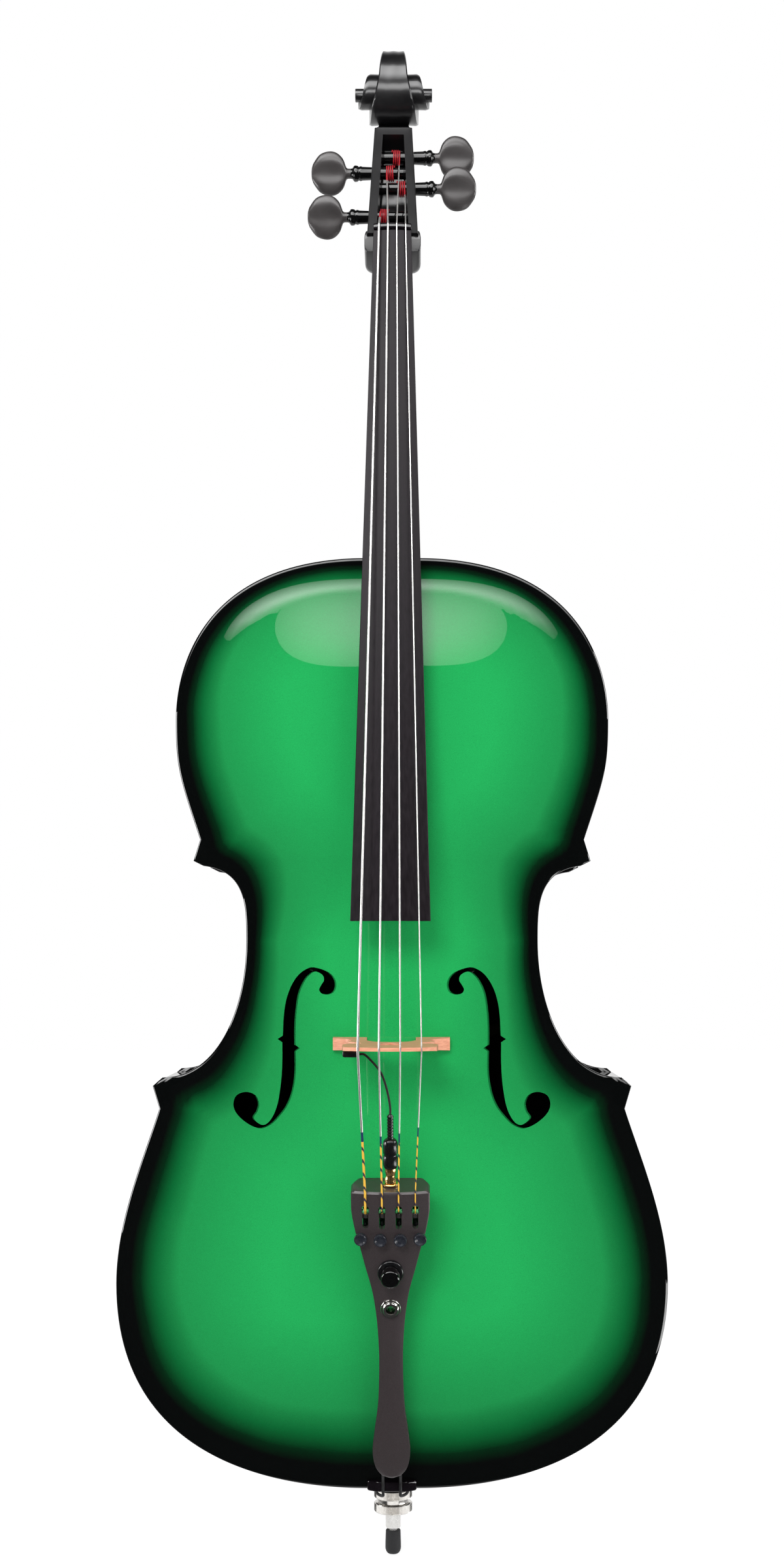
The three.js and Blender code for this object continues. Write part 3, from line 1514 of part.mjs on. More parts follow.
// A fine tuner's screw: dished head, stem and shank down to the lever's arm.
function tunerScrew(i) {
  const shank = tunerScrewDiameter / 2;
  const head = tunerHeadDiameter / 2;
  const surface = leverPivotDepth - tailFront(slotXs[i], tunerReach);
  const under = surface + tunerStem;
  const top = under + tunerHeadHeight;
  const profile = [
    [0, leverThickness / 2 + seatGap],
    [shank, leverThickness / 2 + seatGap],
    [shank, surface + seatGap * 3],
    [head * 0.5, surface + seatGap * 4],
    [head * 0.5, under],
    [head, under + tunerHeadHeight * 0.3],
    [head, top - tunerHeadHeight * 0.2],
    [head * 0.84, top],
    [head * 0.4, top - tunerHeadHeight * 0.3],
    [0, top - tunerHeadHeight * 0.34],
  ];
  return onTunerAxis(profile, i, pegFaces);
}

// Pieces turned about an axis that stands square on the tailpiece's front, at a reach.
function onTailFront(profile, reach, sides) {
  return turned(profile, sides).rotateX(Math.PI).translate(0, -tailCrown, -reach);
}

const spindle = bushingDiameter / 4;
const spindleInner = spindle * 0.6;

function knobBushing() {
  const rim = bushingDiameter / 2;
  const bore = spindleInner + turnGap;
  return onTailFront(
    [
      [bore, seatGap],
      [rim, seatGap],
      [rim, bushingHeight * 0.7],
      [rim * 0.92, bushingHeight],
      [bore, bushingHeight],
      [bore, seatGap],
    ],
    knobReach,
    knobSides,
  );
}

function volumeKnob() {
  const radius = knobDiameter / 2;
  const base = bushingHeight + turnGap;
  const floor = -tailWall - tailCrown - potDepth / 2;
  return onTailFront(
    [
      [0, floor],
      [spindleInner, floor],
      [spindleInner, base],
      [radius, base],
      [radius, base + knobHeight * 0.8],
      [radius * 0.86, base + knobHeight * 0.96],
      [0, base + knobHeight],
    ],
    knobReach,
    knobSides,
  );
}

function potentiometer() {
  const radius = potDiameter / 2;
  const top = -tailWall - tailCrown - seatGap;
  const bore = spindleInner + turnGap;
  return onTailFront(
    [
      [0, top - potDepth],
      [radius, top - potDepth],
      [radius, top],
      [spindle, top],
      [spindle, 0],
      [bore, 0],
      [bore, top - potDepth / 2 - turnGap],
      [0, top - potDepth / 2 - turnGap],
    ],
    knobReach,
    turnSides,
  );
}

// The output jack: a nut on the front and a barrel through the wall, bored right through for the plug.
function outputJack() {
  const [bore, barrel, rim] = [outputBore / 2, outputBarrel / 2, outputNutDiameter / 2];
  const low = -tailCrown - 0.45 * tailDepth;
  const nutTall = outputNutDiameter / 4;
  return onTailFront(
    [
      [bore, low],
      [barrel, low],
      [barrel, seatGap],
      [rim, seatGap],
      [rim, nutTall * 0.45],
      [rim * 0.7, nutTall * 0.6],
      [rim * 0.62, nutTall],
      [bore, nutTall],
      [bore, low],
    ],
    outputReach,
    knobSides,
  );
}

// Pieces turned about the axis of the lead's plug, which stands square on the tailpiece's end.
function onPlugAxis(profile, sides) {
  return turnedUpright(profile, sides).translate(0, inputDepth, 0);
}

function inputSocket() {
  const [flange, barrel, bore] = [inputDiameter / 2, inputBarrel / 2, pinDiameter / 2 + seatGap];
  return onPlugAxis([
    [0, -inputReach],
    [barrel, -inputReach],
    [barrel, seatGap],
    [flange, seatGap],
    [flange, inputFlange],
    [bore, inputFlange],
    [bore, -pinLength - seatGap],
    [0, -pinLength - seatGap],
  ]);
}

// The plug's gold barrel with its pin.
function plugBarrel() {
  const [pin, barrel] = [pinDiameter / 2, barrelDiameter / 2];
  const base = plugBase - seatGap;
  return onPlugAxis([
    [0, -pinLength],
    [pin, -pinLength],
    [pin, base],
    [barrel, base],
    [barrel, base + barrelLength * 0.3],
    [barrel * 0.8, base + barrelLength * 0.5],
    [barrel, base + barrelLength],
    [0, base + barrelLength],
  ]);
}

// The plug's handle with a grip ring and its ribbed strain relief.
function plugHandle() {
  const [grip, relief] = [plugDiameter / 2, reliefDiameter / 2];
  const base = plugBase + barrelLength;
  const top = base + plugLength;
  const ribs = 4;
  const pitch = reliefLength / ribs;
  const profile = [
    [0, base],
    [grip * 0.86, base],
    [grip, base + plugLength * 0.12],
    [grip, base + plugLength * 0.4],
    [grip * 0.9, base + plugLength * 0.45],
    [grip, base + plugLength * 0.5],
    [grip, base + plugLength * 0.85],
    [grip * 0.7, top],
  ];
  for (let k = 0; k < ribs; k += 1) {
    profile.push([relief, top + pitch * (k + 0.1)], [relief, top + pitch * (k + 0.55)]);
    profile.push([relief * 0.72, top + pitch * (k + 0.65)], [relief * 0.72, top + pitch * (k + 1)]);
  }
  profile.push([0, top + reliefLength]);
  return onPlugAxis(profile, pegFaces);
}

// Endpin, from the inside out
const rodRadius = rodDiameter / 2;
const rodBore = rodRadius + turnGap;
const collarTop = bodyBottom - plugShow - seatGap;
const lockTop = collarTop - collarRing - seatGap;
const lockLow = lockTop - collarRing - collarGroove;
const rodLow = lockLow - rodShow;

function endpinPlug() {
  const wide = plugTopDiameter / 2;
  const ribFace = bodyBottom + plateOverhang;
  const top = ribFace + plugInnerLength;
  const neck = plugNeckDiameter / 2;
  const flange = plugFlangeDiameter / 2;
  const flangeTop = bodyBottom - plugNeckShow;
  const ease = (plugShow - plugNeckShow) / 7;
  return turnedUpright([
    [rodBore, bodyBottom - plugShow],
    [flange * 0.94, bodyBottom - plugShow],
    [flange, flangeTop - ease],
    [flange * 0.9, flangeTop],
    [neck, flangeTop + ease],
    [neck, ribFace],
    [wide - seatGap, ribFace],
    [wide * 0.85, top],
    [rodBore, top],
    [rodBore, bodyBottom - plugShow],
  ]);
}

function knurledRing(low, top, groove) {
  const radius = collarDiameter / 2;
  const ease = collarRing * 0.14;
  const start = top - groove;
  const profile = [
    [rodBore, low],
    [radius - ease, low],
    [radius, low + ease],
    [radius, start - ease],
    [radius - ease, start],
  ];
  if (groove > 0) profile.push([radius * 0.8, start + groove * 0.3], [radius * 0.8, top]);
  profile.push([rodBore, top], [rodBore, low]);
  return turnedUpright(profile, knobSides);
}

function endpinRod() {
  const neck = rodNeckDiameter / 2;
  const spigot = tipLength * 0.45;
  const top = rodLow + rodLength;
  return turnedUpright(
    [
      [0, rodLow - spigot],
      [neck, rodLow - spigot],
      [neck, rodLow + 2 * seatGap],
      [rodRadius * 0.94, rodLow + rodShow * 0.1],
      [rodRadius, rodLow + rodShow * 0.16],
      [rodRadius, top - rodNeckDiameter / 4],
      [neck, top],
      [0, top],
    ],
    12,
  );
}

function endpinTip() {
  const radius = tipDiameter / 2;
  const bore = rodNeckDiameter / 2 + seatGap;
  const floor = rodLow - tipLength * 0.45 - seatGap;
  return turnedUpright([
    [0, 0],
    [radius * 0.66, 0],
    [radius * 0.9, tipLength * 0.1],
    [radius, tipLength * 0.24],
    [radius * 0.94, tipLength],
    [bore, tipLength],
    [bore, floor],
    [0, floor],
  ]);
}

// Colours, as they look under soft light, with roughness and metalness
const looks = {
  greenGloss: [0x2aa85c, 0.15, 0],
  blackGloss: [0x0c0b0d, 0.18, 0],
  spruce: [0xd9b98a, 0.7, 0],
  ebony: [0x262226, 0.45, 0],
  satinPeg: [0x4a4a4c, 0.35, 0],
  maple: [0xde9673, 0.55, 0],
  composite: [0x3c3637, 0.5, 0],
  blackPlastic: [0x121214, 0.3, 0],
  steel: [0xd8d6d2, 0.3, 1],
  redSilk: [0xd8202a, 0.7, 0],
  nickel: [0xcfc6bf, 0.25, 1],
  gold: [0xc89a4a, 0.25, 1],
  rubber: [0x17171a, 0.8, 0],
  cord: [0x161616, 0.6, 0],
};

const cello = new THREE.Group();

function add(parent, name, geometry, look) {
  const [color, roughness, metalness] = looks[look];
  const mesh = new THREE.Mesh(geometry, new THREE.MeshStandardMaterial({ color, roughness, metalness }));
  mesh.name = name;
  parent.add(mesh);
  return mesh;
}

const tenon = tenonSpace();
const plugHole = plugTaper(seatGap);
const fHoles = [...fHole(1), ...fHole(-1)];
add(cello, "top_plate", cut(topPlateWhole, ...fHoles, tenon, saddleSpace()), "greenGloss");
add(cello, "back_plate", backPlate(), "blackGloss");

const sides = { left: -1, right: 1 };
const cornerClear = cornerBlockReach + plateOverhang;
for (const [sideName, side] of Object.entries(sides)) {
  const lower = rib(lines.lower, side, endBlockWidth / 2 + seatGap, cornerClear);
  const waistRib = rib(lines.waist, side, cornerClear, cornerClear);
  const upper = rib(lines.upper, side, cornerClear, neckBlockWidth / 2);
  add(cello, `lower_rib_${sideName}`, cut(lower, plugHole), "blackGloss");
  add(cello, `waist_rib_${sideName}`, waistRib, "blackGloss");
  add(cello, `upper_rib_${sideName}`, upper, "blackGloss");
  add(cello, `lower_corner_block_${sideName}`, block(cornerBlockOutline(-1), side), "spruce");
  add(cello, `upper_corner_block_${sideName}`, block(cornerBlockOutline(1), side), "spruce");
}
add(cello, "end_block", cut(block(endBlockOutline()), plugHole), "spruce");
add(cello, "neck_block", cut(block(neckBlockOutline()), tenon), "spruce");
add(cello, "bass_bar", bassBar(), "spruce");
add(cello, "sound_post", soundPost(), "spruce");

add(cello, "neck", neckAndHead(), "blackGloss");
add(cello, "fingerboard", fingerboard(), "ebony");
add(cello, "nut", nut(), "ebony");
add(cello, "bridge", bridge(), "maple");
add(cello, "saddle", saddle(), "ebony");
add(cello, "pickup", pickup(), "blackPlastic");
add(cello, "pickup_lead", pickupLead(), "cord");
add(cello, "tail_gut", tailGut(), "cord");

const stringNames = ["c", "g", "d", "a"];
let leastGap = Infinity;
stringNames.forEach((name, i) => {
  add(cello, `peg_${name}`, peg(i), "satinPeg");
  const { coil, points } = winding(i);
  leastGap = Math.min(leastGap, leastSelfGap(points, windingDiameter));
  add(cello, `winding_${name}`, coil, "redSilk");
  add(cello, `string_${name}`, string(i), "steel");
});
console.log(`least gap between a winding's own turns: ${leastGap.toFixed(2)} mm`);

const tail = new THREE.Group();
tail.applyMatrix4(tailPlace);
cello.add(tail);
add(tail, "tailpiece", tailpiece(), "composite");
stringNames.forEach((name, i) => {
  const lever = add(tail, `tuner_lever_${name}`, tunerLever(i), "nickel");
  lever.position.set(slotXs[i], leverPivotDepth, -leverPivotReach);
  add(tail, `tuner_screw_${name}`, tunerScrew(i), "blackPlastic");
});
const axleLength = 2 * (tailAt(leverPivotReach).half - tailWall - seatGap);
add(
  tail,
  "tuner_axle",
  crossRod(axleDiameter / 2, axleLength, 0, leverPivotDepth, -leverPivotReach, pegFaces),
  "nickel",
);
add(tail, "knob_bushing", knobBushing(), "blackPlastic");
add(tail, "volume_knob", volumeKnob(), "blackPlastic");
add(tail, "potentiometer", potentiometer(), "nickel");
add(tail, "output_jack", outputJack(), "nickel");
add(tail, "input_socket", inputSocket(), "gold");
add(tail, "plug_barrel", plugBarrel(), "gold");
add(tail, "plug_handle", plugHandle(), "blackPlastic");

add(cello, "endpin_plug", endpinPlug(), "ebony");
add(cello, "endpin_collar", knurledRing(lockTop + seatGap, collarTop, 0), "nickel");
add(cello, "endpin_lock_ring", knurledRing(lockLow, lockTop, collarGroove), "nickel");
add(cello, "endpin_rod", endpinRod(), "steel");
add(cello, "endpin_tip", endpinTip(), "rubber");

export default cello;
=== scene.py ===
# %% [markdown]
# # An electric cello in a white studio
#
# The instrument is a full-size cello with an arched hollow body, lacquered in a green sunburst with
# black edges. Its tailpiece holds fine tuners, a volume knob and two jacks. This notebook dresses the
# measured model piece by piece. Most pieces are surfaces worked out as whole arrays, because a gloss
# lacquer shows every facet, and a formula gives as smooth a surface as the light needs.

# %% Load the measured model as a fixed frame
import json
import math

import bmesh
import bpy
import numpy as np
from mathutils import Matrix, Vector

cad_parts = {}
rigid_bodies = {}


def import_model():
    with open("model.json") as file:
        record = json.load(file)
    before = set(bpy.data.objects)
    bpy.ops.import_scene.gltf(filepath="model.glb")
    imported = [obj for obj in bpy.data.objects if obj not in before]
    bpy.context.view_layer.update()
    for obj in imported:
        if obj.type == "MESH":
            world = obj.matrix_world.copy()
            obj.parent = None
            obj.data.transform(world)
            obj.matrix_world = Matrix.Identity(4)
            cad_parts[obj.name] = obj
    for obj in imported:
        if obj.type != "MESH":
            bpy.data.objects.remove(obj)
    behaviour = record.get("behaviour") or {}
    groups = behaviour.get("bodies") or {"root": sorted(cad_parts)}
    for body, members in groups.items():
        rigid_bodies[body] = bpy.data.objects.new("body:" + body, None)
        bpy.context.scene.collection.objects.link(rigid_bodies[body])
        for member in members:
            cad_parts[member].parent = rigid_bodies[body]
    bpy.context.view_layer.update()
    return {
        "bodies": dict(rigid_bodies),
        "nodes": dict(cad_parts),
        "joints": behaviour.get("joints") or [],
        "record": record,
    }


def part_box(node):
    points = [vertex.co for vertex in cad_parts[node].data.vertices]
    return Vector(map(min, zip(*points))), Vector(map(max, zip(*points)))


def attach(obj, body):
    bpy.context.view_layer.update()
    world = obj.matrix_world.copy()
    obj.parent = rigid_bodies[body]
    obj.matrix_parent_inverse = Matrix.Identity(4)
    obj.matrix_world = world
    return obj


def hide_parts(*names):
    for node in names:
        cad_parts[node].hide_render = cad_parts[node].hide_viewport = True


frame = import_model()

MM = 0.001

# %% [markdown]
# ## Camera
#
# The photograph was taken square on to the body, from about a metre and a half away. Lines that run
# away from us meet a little to the right of the middle and well below it, at the height of the bridge.
# A view camera's shift gives that: the camera looks straight ahead, and the picture slides over it.

# %% The camera, square to the body
plate_low, plate_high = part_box("top_plate")
edge_plane = -0.0625
camera_distance = 1.524
camera_side = 0.024
camera_height = 0.508
picture_long_side = 2400
focal_pixels = 2878
slide_pixels = 255


def add_object(name, data):
    thing = bpy.data.objects.new(name, data)
    bpy.context.collection.objects.link(thing)
    return thing


camera_data = bpy.data.cameras.new("camera")
camera_data.sensor_width = 36
camera_data.lens = focal_pixels * camera_data.sensor_width / picture_long_side
camera_data.shift_y = slide_pixels / picture_long_side
camera_data.shift_x = -camera_side * focal_pixels / camera_distance / picture_long_side
camera = add_object("camera", camera_data)
camera.location = (camera_side, edge_plane - camera_distance, camera_height)
camera.rotation_euler = (math.pi / 2, 0, 0)
bpy.context.scene.camera = camera
print("lens", round(camera_data.lens, 1), "mm")

# %% [markdown]
# ## Light and background
#
# A glossy instrument is lit with large soft panels, because its lacquer mirrors them. One hangs high in
# front, and its curved lower edge draws the foot of the pale patch on the upper bout. It is dark there
# and bright at its top. A second panel over it lights what leans further up. Panels on both sides draw
# the short bright lines along the black rims, and small ones light the head, the lower side and the
# foot. Lamps that no mirror sees fill the shadows. In a mirror, the rest of the room is dark, and the
# ground behind the cello is white.

# %% Panels, lamps and the background
scene = bpy.context.scene
scene.view_settings.view_transform = "Standard"
cello_middle = (0, 0, 0.55)


def facing(place, aim):
    """A turn that makes a thing's -Z axis look from its place at the point it aims for."""
    return (Vector(aim) - Vector(place)).to_track_quat("-Z", "Y").to_euler()


def add_node(tree, kind, values=None, **settings):
    """A new node: values go to its sockets by name or number, settings to its own properties."""
    node = tree.nodes.new(kind)
    for key, value in settings.items():
        setattr(node, key, value)
    for key, value in (values or {}).items():
        node.inputs[key].default_value = value
    return node


def spread(tree, source, low, high, start=0.3, end=0.7):
    """A value from one range moved to another, such as noise to a span of roughness."""
    limits = {"From Min": start, "From Max": end, "To Min": low, "To Max": high}
    node = add_node(tree, "ShaderNodeMapRange", limits)
    tree.links.new(source, node.inputs["Value"])
    return node.outputs["Result"]


def calculate(tree, operation, *values):
    """The result of one step of arithmetic on numbers and on the values of other nodes."""
    node = add_node(tree, "ShaderNodeMath", operation=operation)
    for socket, value in zip(node.inputs, values):
        if isinstance(value, float):
            socket.default_value = value
        else:
            tree.links.new(value, socket)
    return node.outputs[0]


def soft_lamp(name, place, width, height, watts):
    """A rectangular lamp that looks at the cello's middle. No mirror shows it."""
    data = bpy.data.lights.new(name, "AREA")
    data.shape = "RECTANGLE"
    data.size = width
    data.size_y = height
    data.energy = watts
    lamp = add_object(name, data)
    lamp.location = place
    lamp.rotation_euler = facing(place, cello_middle)
    lamp.visible_glossy = False


def soft_panel(name, outline, place, aim, levels, across=(1.0, 1.0)):
    """A glowing sheet that only mirrors see. Its outline lies in its own plane, in metres. Its
    brightness runs evenly from its bottom to its top, times a share that runs from left to right."""
    points = np.array(outline)
    data = bpy.data.meshes.new(name)
    data.from_pydata(np.column_stack([points, np.zeros(len(points))]).tolist(), [], [range(len(points))])
    panel = add_object(name, data)
    panel.location = place
    panel.rotation_euler = facing(place, aim)
    panel.visible_camera = panel.visible_diffuse = panel.visible_shadow = False
    glow = bpy.data.materials.new(name)
    glow.use_nodes = True
    tree = glow.node_tree
    tree.nodes.clear()
    where = add_node(tree, "ShaderNodeTexCoord")
    split = add_node(tree, "ShaderNodeSeparateXYZ")
    tree.links.new(where.outputs["Object"], split.inputs[0])
    low, high = points.min(axis=0), points.max(axis=0)
    shares = []
    for axis, (start, end) in enumerate((across, levels)):
        shares.append(spread(tree, split.outputs[axis], start, end, low[axis], high[axis]))
    light = add_node(tree, "ShaderNodeEmission", {"Color": (1, 1, 1, 1)})
    output = add_node(tree, "ShaderNodeOutputMaterial")
    tree.links.new(calculate(tree, "MULTIPLY", *shares), light.inputs["Strength"])
    tree.links.new(light.outputs[0], output.inputs["Surface"])
    data.materials.append(glow)


def oblong(width, height):
    return [(x * width / 2, y * height / 2) for x, y in ((-1, -1), (1, -1), (1, 1), (-1, 1))]


# The high panel's lower edge, from its middle to its right end, then the whole outline.
high_edge = [(0, -0.16), (0.6, -0.22), (1.3, -0.34), (2.3, -0.4)]
high_outline = [(-x, y) for x, y in high_edge[:0:-1]] + high_edge + [(2.3, 0.5), (-2.3, 0.5)]
soft_panel("high_panel", high_outline, (0, -1.9, 1.9), (0, 0, 1.9), levels=(0, 10), across=(1.3, 0.35))
soft_panel("over_panel", oblong(4.6, 1.0), (0, -1.42, 2.6), (0, 0, 0.8), levels=(10, 8), across=(1.2, 0.3))
soft_panel("head_panel", oblong(0.24, 0.07), (0, -0.22, 1.2), (0, 0, 1.2), levels=(7, 7))
soft_panel("right_panel", oblong(0.5, 0.55), (1.35, -0.2, 1.12), (0, 0, 0.72), levels=(13, 13))
soft_panel("left_panel", oblong(0.5, 0.6), (-1.35, -0.2, 0.6), (0, 0, 0.66), levels=(13, 13))
soft_panel("foot_panel", oblong(0.1, 0.045), (0, -0.06, 0.035), (0, 0, 0.045), levels=(1.3, 1.3))
soft_panel("low_panel", oblong(0.5, 0.3), (0.6, -0.2, 0.02), (0, 0, 0.3), levels=(8, 8))
soft_lamp("key", (-0.5, -2.3, 1.5), 0.9, 0.7, watts=30)
soft_lamp("fill", (1.6, -2.4, 0.7), 1.6, 1.6, watts=14)
soft_lamp("back_glow", (0, 2.4, 1.6), 2.4, 1.2, watts=14)

world = bpy.data.worlds.new("studio")
world.use_nodes = True
scene.world = world


def paint_world(tree, room_level, dark_level, behind=(0.3, 0.8)):
    """The studio: an even grey light from all round, and a white ground that the camera sees. What
    mirrors the room sees that ground where it looks backwards, and a dark room elsewhere, with a blend
    between the two shares of the way back."""
    tree.nodes.clear()
    link = tree.links.new
    direction = add_node(tree, "ShaderNodeTexCoord")
    split = add_node(tree, "ShaderNodeSeparateXYZ")
    link(direction.outputs["Generated"], split.inputs[0])
    rays = add_node(tree, "ShaderNodeLightPath").outputs
    room = add_node(tree, "ShaderNodeMix", {"A": room_level}, data_type="FLOAT")
    level = add_node(tree, "ShaderNodeMix", {"B": 1.0}, data_type="FLOAT")
    ground = add_node(tree, "ShaderNodeBackground", {"Color": (1, 1, 1, 1)})
    output = add_node(tree, "ShaderNodeOutputWorld")
    link(rays["Is Glossy Ray"], room.inputs["Factor"])
    link(spread(tree, split.outputs["Y"], dark_level, 1.0, *behind), room.inputs["B"])
    clear = calculate(tree, "MAXIMUM", rays["Is Camera Ray"], rays["Is Transmission Ray"])
    link(clear, level.inputs["Factor"])
    link(room.outputs["Result"], level.inputs["A"])
    link(level.outputs["Result"], ground.inputs["Strength"])
    link(ground.outputs[0], output.inputs["Surface"])


paint_world(world.node_tree, room_level=0.6, dark_level=0.03)

# %% [markdown]
# ## Tools for making surfaces
#
# A surface here is a grid of points: one number runs along the piece and one runs round it. The tools
# below turn such grids into closed meshes, turn profiles about an axis, and carry a circle along a path.

# %% Grids, caps and finished pieces


def grid_faces(rows, columns, around=False, first=0):
    """Four-cornered faces between neighbouring points of a grid numbered row by row. With around set,
    the last column also meets the first."""
    i, j = np.meshgrid(np.arange(rows - 1), np.arange(columns if around else columns - 1), indexing="ij")
    after = (j + 1) % columns
    corners = [i * columns + j, i * columns + after, (i + 1) * columns + after, (i + 1) * columns + j]
    return (np.stack(corners, axis=-1).reshape(-1, 4) + first).tolist()


def tube_faces(rows, columns):
    """The faces of a closed tube of rings: its wall, and one flat face on each end."""
    ends = [list(range(columns)), [(rows - 1) * columns + k for k in range(columns)]]
    return grid_faces(rows, columns, around=True) + ends


def build_mesh(name, points, faces, crease=38):
    """A mesh with merged doubles, faces turned outward, and edges sharper than the crease kept crisp."""
    mesh = bpy.data.meshes.new(name)
    mesh.from_pydata(np.asarray(points, dtype=float).reshape(-1, 3).tolist(), [], faces)
    work = bmesh.new()
    work.from_mesh(mesh)
    bmesh.ops.remove_doubles(work, verts=work.verts, dist=1e-6)
    bmesh.ops.dissolve_degenerate(work, edges=work.edges, dist=1e-7)
    bmesh.ops.recalc_face_normals(work, faces=work.faces)
    work.to_mesh(mesh)
    work.free()
    mesh.shade_smooth()
    mesh.set_sharp_from_angle(angle=math.radians(crease))
    return mesh


def place_piece(mesh, finish, replaced, body="body"):
    """Put a mesh into the scene as a piece that moves with a body and stands for measured nodes."""
    piece = add_object(mesh.name, mesh)
    if not mesh.materials:
        mesh.materials.append(finish)
    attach(piece, body)
    if replaced:
        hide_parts(*replaced)
    return piece


def smooth_line(points, count):
    """A Catmull-Rom curve through points: each stretch is a cubic whose slope at a point is half the
    step between its neighbours. Returns so many points, evenly spread in the curve's own parameter."""
    p = np.asarray(points, dtype=float)
    p = np.vstack([2 * p[0] - p[1], p, 2 * p[-1] - p[-2]])
    at = np.linspace(0, len(points) - 1, count)
    k = np.minimum(at.astype(int), len(points) - 2)
    t = (at - k)[:, None]
    a, b, c, d = p[k], p[k + 1], p[k + 2], p[k + 3]
    return 0.5 * (2 * b + (c - a) * t + (2 * a - 5 * b + 4 * c - d) * t**2 + (3 * b - a - 3 * c + d) * t**3)


def cubic_curve(a, b, c, d, count):
    """A cubic Bezier curve from a to d, pulled towards b and c."""
    t = np.linspace(0, 1, count)[:, None]
    a, b, c, d = [np.array(v, dtype=float) for v in (a, b, c, d)]
    return a * (1 - t) ** 3 + 3 * b * t * (1 - t) ** 2 + 3 * c * t**2 * (1 - t) + d * t**3


def lerp(a, b, share):
    return a + (b - a) * share


def full_turn(sides):
    """So many even steps round a circle, in radians."""
    return np.linspace(0, 2 * np.pi, sides, endpoint=False)


def mirrored(half):
    """A half outline followed by its mirror image, which share their first and last points."""
    return np.vstack([half, half[1:-1][::-1] * (-1, 1)])


def closed_outline(rows):
    """Both sides of an outline given as (half width, height), closed into one line."""
    return np.vstack([rows, rows[::-1] * (-1, 1), rows[:1]])


def turned(profile, sides=64):
    """Points of [radius, height] pairs turned about the Z axis: x = radius cos, y = radius sin."""
    profile = np.asarray(profile, dtype=float)
    turn = full_turn(sides)
    radius, height = profile[:, :1], profile[:, 1:]
    rings = [radius * np.cos(turn), radius * np.sin(turn), np.repeat(height, sides, axis=1)]
    return np.stack(rings, axis=-1).reshape(-1, 3)


def turned_mesh(name, profile, place, sides=64, crease=38):
    """A closed mesh of a profile in millimetres, turned about Z and then placed by a matrix."""
    points = apply(place, turned(np.asarray(profile) * MM, sides))
    return build_mesh(name, points, tube_faces(len(profile), sides), crease)


def apply(matrix, points):
    """Points moved by a 4 by 4 matrix: turned and shifted as whole arrays."""
    m = np.array(matrix)
    return np.asarray(points) @ m[:3, :3].T + m[:3, 3]


def tube_rings(path, radius, sides=12, reference=(1, 0, 0)):
    """Rings about a path: at each point a circle in the plane square to the path, set out from one
    fixed reference direction so that the tube doesn't twist."""
    path = np.asarray(path, dtype=float)
    along = np.gradient(path, axis=0)
    along /= np.linalg.norm(along, axis=1, keepdims=True)
    side = np.array(reference, dtype=float) - along * (along @ np.array(reference, dtype=float))[:, None]
    side /= np.linalg.norm(side, axis=1, keepdims=True)
    up = np.cross(along, side)
    turn = full_turn(sides)
    radius = np.broadcast_to(np.asarray(radius, dtype=float), (len(path),))[:, None, None]
    circle = side[:, None] * np.cos(turn)[None, :, None] + up[:, None] * np.sin(turn)[None, :, None]
    return path[:, None] + radius * circle


def tube_mesh(name, path, radius, sides=12, reference=(1, 0, 0)):
    rings = tube_rings(path, radius, sides, reference)
    return build_mesh(name, rings, tube_faces(len(rings), sides))


# %% [markdown]
# ## Finishes
#
# Each finish starts from a physically based shader. Grain and flecks come from noise that reads the
# piece's own coordinates, so that they stay put when a part moves. The lacquers carry a clear coat,
# because that is what gives a lacquered top its sharp reflections over a softer colour.

# %% The base of every finish


def new_finish(name, color, roughness, metallic=0.0, coat=0.0, coat_roughness=0.03, specular=0.5):
    """A material with its plain values set on the shader itself."""
    material = bpy.data.materials.new(name)
    material.use_nodes = True
    shader = material.node_tree.nodes["Principled BSDF"]
    shader.inputs["Base Color"].default_value = (*color, 1)
    shader.inputs["Roughness"].default_value = roughness
    shader.inputs["Metallic"].default_value = metallic
    shader.inputs["Coat Weight"].default_value = coat
    shader.inputs["Coat Roughness"].default_value = coat_roughness
    shader.inputs["Specular IOR Level"].default_value = specular
    return material


def grain(tree, scale, detail=3.0, stretch=(1, 1, 1)):
    """Noise on the piece's own coordinates, drawn out along an axis by a smaller scale there."""
    place = add_node(tree, "ShaderNodeTexCoord")
    mapping = add_node(tree, "ShaderNodeMapping", {"Scale": stretch})
    noise = add_node(tree, "ShaderNodeTexNoise", {"Scale": scale, "Detail": detail})
    tree.links.new(place.outputs["Object"], mapping.inputs["Vector"])
    tree.links.new(mapping.outputs["Vector"], noise.inputs["Vector"])
    return noise.outputs["Fac"]


def ramp(tree, source, stops):
    """A colour ramp through stops of (place, colour)."""
    node = add_node(tree, "ShaderNodeValToRGB")
    elements = node.color_ramp.elements
    for place, _ in stops[2:]:
        elements.new(place)
    for element, (place, color) in zip(elements, sorted(stops)):
        element.position = place
        element.color = (*color, 1)
    tree.links.new(source, node.inputs["Fac"])
    return node.outputs["Color"]


def add_bump(material, source, height, strength=0.3):
    """Raise the surface by a source, of a real height in metres."""
    tree = material.node_tree
    bump = add_node(tree, "ShaderNodeBump", {"Strength": strength, "Distance": height})
    tree.links.new(source, bump.inputs["Height"])
    tree.links.new(bump.outputs["Normal"], tree.nodes["Principled BSDF"].inputs["Normal"])


def grained_finish(name, dark, light, roughness, scale, stretch=(1, 1, 1), bump=0.0, **more):
    """A finish whose colour wanders between two tones and whose gloss wanders a little with it."""
    material = new_finish(name, light, roughness, **more)
    tree = material.node_tree
    shader = tree.nodes["Principled BSDF"]
    noise = grain(tree, scale, stretch=stretch)
    color = ramp(tree, noise, [(0.3, dark), (0.7, light)])
    tree.links.new(color, shader.inputs["Base Color"])
    gloss = spread(tree, noise, roughness * 0.85, min(1.0, roughness * 1.15))
    tree.links.new(gloss, shader.inputs["Roughness"])
    if bump:
        add_bump(material, noise, bump)
    return material


# %% Lacquers and woods
# The middle's green is partly painted light: it is lighter than the border's deep green, as the light is
# brightest in the middle.
green = (0.017, 0.400, 0.098)
burst_black = (0.0015, 0.002, 0.002)
